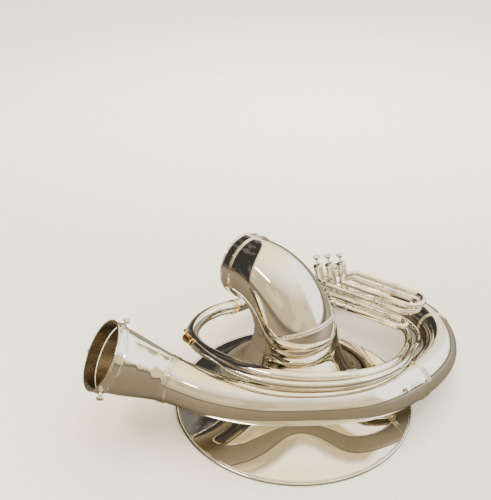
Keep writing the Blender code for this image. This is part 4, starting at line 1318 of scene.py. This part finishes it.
@dataclass
class Studio:
    """Pale floor, soft lights, the room's glow and the camera."""

    camera_at: tuple[float, float, float] = (-0.132, -1.689, 1.409)
    pitch: float = 29.0
    lens: float = 57.04
    sensor: float = 36.0
    floor_reach: float = 9.0
    softboxes: tuple[Softbox, ...] = (
        Softbox("key_softbox", (-1.5, -0.9, 2.1), (0.0, 0.0, 0.15), (1.0, 0.8), 110.0, (1.0, 0.93, 0.80)),
        Softbox("side_softbox", (1.9, -0.3, 1.5), (0.1, 0.0, 0.15), (0.6, 1.1), 90.0, (1.0, 0.97, 0.92)),
        Softbox("back_softbox", (0.2, 1.9, 1.9), (0.0, 0.1, 0.15), (1.6, 0.5), 110.0, (1.0, 0.95, 0.86)))

    def build(self) -> None:
        """Makes the floor, lights, world and camera."""
        self.build_floor()
        self.build_world()
        for softbox in self.softboxes:
            softbox.build()
        view = bpy.data.cameras.new("camera")
        view.sensor_fit = "HORIZONTAL"
        view.sensor_width = self.sensor
        view.lens = self.lens
        view.clip_end = 50.0
        made = bpy.data.objects.new("camera", view)
        made.location = tuple(np.array(self.camera_at) + BELL_AXIS)
        made.rotation_euler = (math.radians(90.0 - self.pitch), 0.0, 0.0)
        bpy.context.scene.collection.objects.link(made)
        bpy.context.scene.camera = made

    def build_floor(self) -> None:
        """A wide pale floor that is flat everywhere; in glossy rays its colour is a painted dark
        reflection, so the metal mirrors a dark floor.
        """
        mesh = bpy.data.meshes.new("floor")
        signs = ((-1, -1), (1, -1), (1, 1), (-1, 1))
        corners = [(x * self.floor_reach, y * self.floor_reach, 0) for x, y in signs]
        mesh.from_pydata(corners, [], [(0, 1, 2, 3)])
        made = bpy.data.objects.new("floor", mesh)
        paint = bpy.data.materials.new("pale_floor_dark_painted_reflection")
        paint.use_nodes = True
        tree = paint.node_tree
        shader = tree.nodes["Principled BSDF"]
        shader.inputs["Roughness"].default_value = 0.65
        where = tree.nodes.new("ShaderNodeTexCoord").outputs["Object"]
        shade = blended(tree, noise(tree, where, 60.0, 4.0), (0.86, 0.855, 0.84), (0.90, 0.895, 0.885))
        # Painted reflection: seen from the metal, the floor shows a dark colour instead of its own pale
        # one.
        mirrored = tree.nodes.new("ShaderNodeLightPath").outputs["Is Glossy Ray"]
        tree.links.new(blended(tree, mirrored, shade, (0.10, 0.085, 0.065)), shader.inputs["Base Color"])
        mesh.materials.append(paint)
        bpy.context.scene.collection.objects.link(made)

    def build_world(self) -> None:
        """The room seen in the metal: a warm bright ceiling that falls off to khaki walls, a pale
        side, and a dark screen behind on the left. Plain pale where it is seen directly."""
        world = bpy.data.worlds.new("room")
        bpy.context.scene.world = world
        world.use_nodes = True
        tree = world.node_tree
        back = tree.nodes["Background"]
        where = tree.nodes.new("ShaderNodeTexCoord").outputs["Generated"]
        patches = remap(tree, noise(tree, where, 1.7, 2.0), 0.50, 0.54, 0.0, 0.22)
        ceiling = remap(tree, self.towards(tree, where, (0.12, 0.42, 0.90)), 0.30, 0.92, 0.0, 1.0)
        walls = blended(tree, patches, (0.36, 0.295, 0.18), (0.85, 0.72, 0.46))
        gold = remap(tree, self.towards(tree, where, (-0.30, 0.62, 0.72)), 0.55, 0.97, 0.0, 1.0)
        room = blended(tree, ceiling, walls, blended(tree, gold, (1.0, 0.95, 0.83), (1.0, 0.78, 0.38)))
        lit = remap(tree, self.towards(tree, where, (0.93, 0.30, 0.22)), 0.70, 0.80, 0.0, 0.9)
        room = blended(tree, lit, room, (1.0, 0.99, 0.95))
        low = remap(tree, self.towards(tree, where, (0.0, 0.0, 1.0)), 0.05, 0.12, 1.0, 0.0)
        room = blended(tree, low, room, (0.10, 0.085, 0.06))
        folds = remap(tree, noise(tree, where, 3.5, 3.0), 0.52, 0.64, 0.0, 0.6)
        screen = blended(tree, folds, (0.022, 0.021, 0.020), (0.13, 0.12, 0.105))
        hidden = remap(tree, self.towards(tree, where, (-0.75, 0.62, 0.20)), 0.60, 0.625, 0.0, 1.0)
        room = blended(tree, hidden, room, screen)
        seen = tree.nodes.new("ShaderNodeLightPath").outputs["Is Camera Ray"]
        tree.links.new(blended(tree, seen, room, (0.90, 0.90, 0.89)), back.inputs["Color"])
        spread = tree.nodes.new("ShaderNodeLightPath").outputs["Is Diffuse Ray"]
        tree.links.new(remap(tree, spread, 0.0, 1.0, 2.4, 5.0), back.inputs["Strength"])

    def towards(self, tree, where, way: tuple[float, float, float]):
        """How far a direction agrees with a given one, from -1 to 1; returns the socket."""
        dot = tree.nodes.new("ShaderNodeVectorMath")
        dot.operation = "DOT_PRODUCT"
        tree.links.new(where, dot.inputs[0])
        dot.inputs[1].default_value = tuple(unit(way))
        return dot.outputs["Value"]


def main() -> None:
    """Builds the instrument piece by piece, then the studio."""
    logging.basicConfig(level=logging.INFO, format="%(name)s %(message)s")
    BellSection().build()
    branch = BigBranch()
    big = branch.build()
    inner = InnerBranch().build()
    valves = ValveSet()
    valves.build()
    Mouthpipe().build(valves)
    slides = SlideSet(valves)
    slides.build(inner)
    Fittings(slides).build(big, branch.cuts[2])
    Studio().build()


if __name__ == "__main__":
    main()
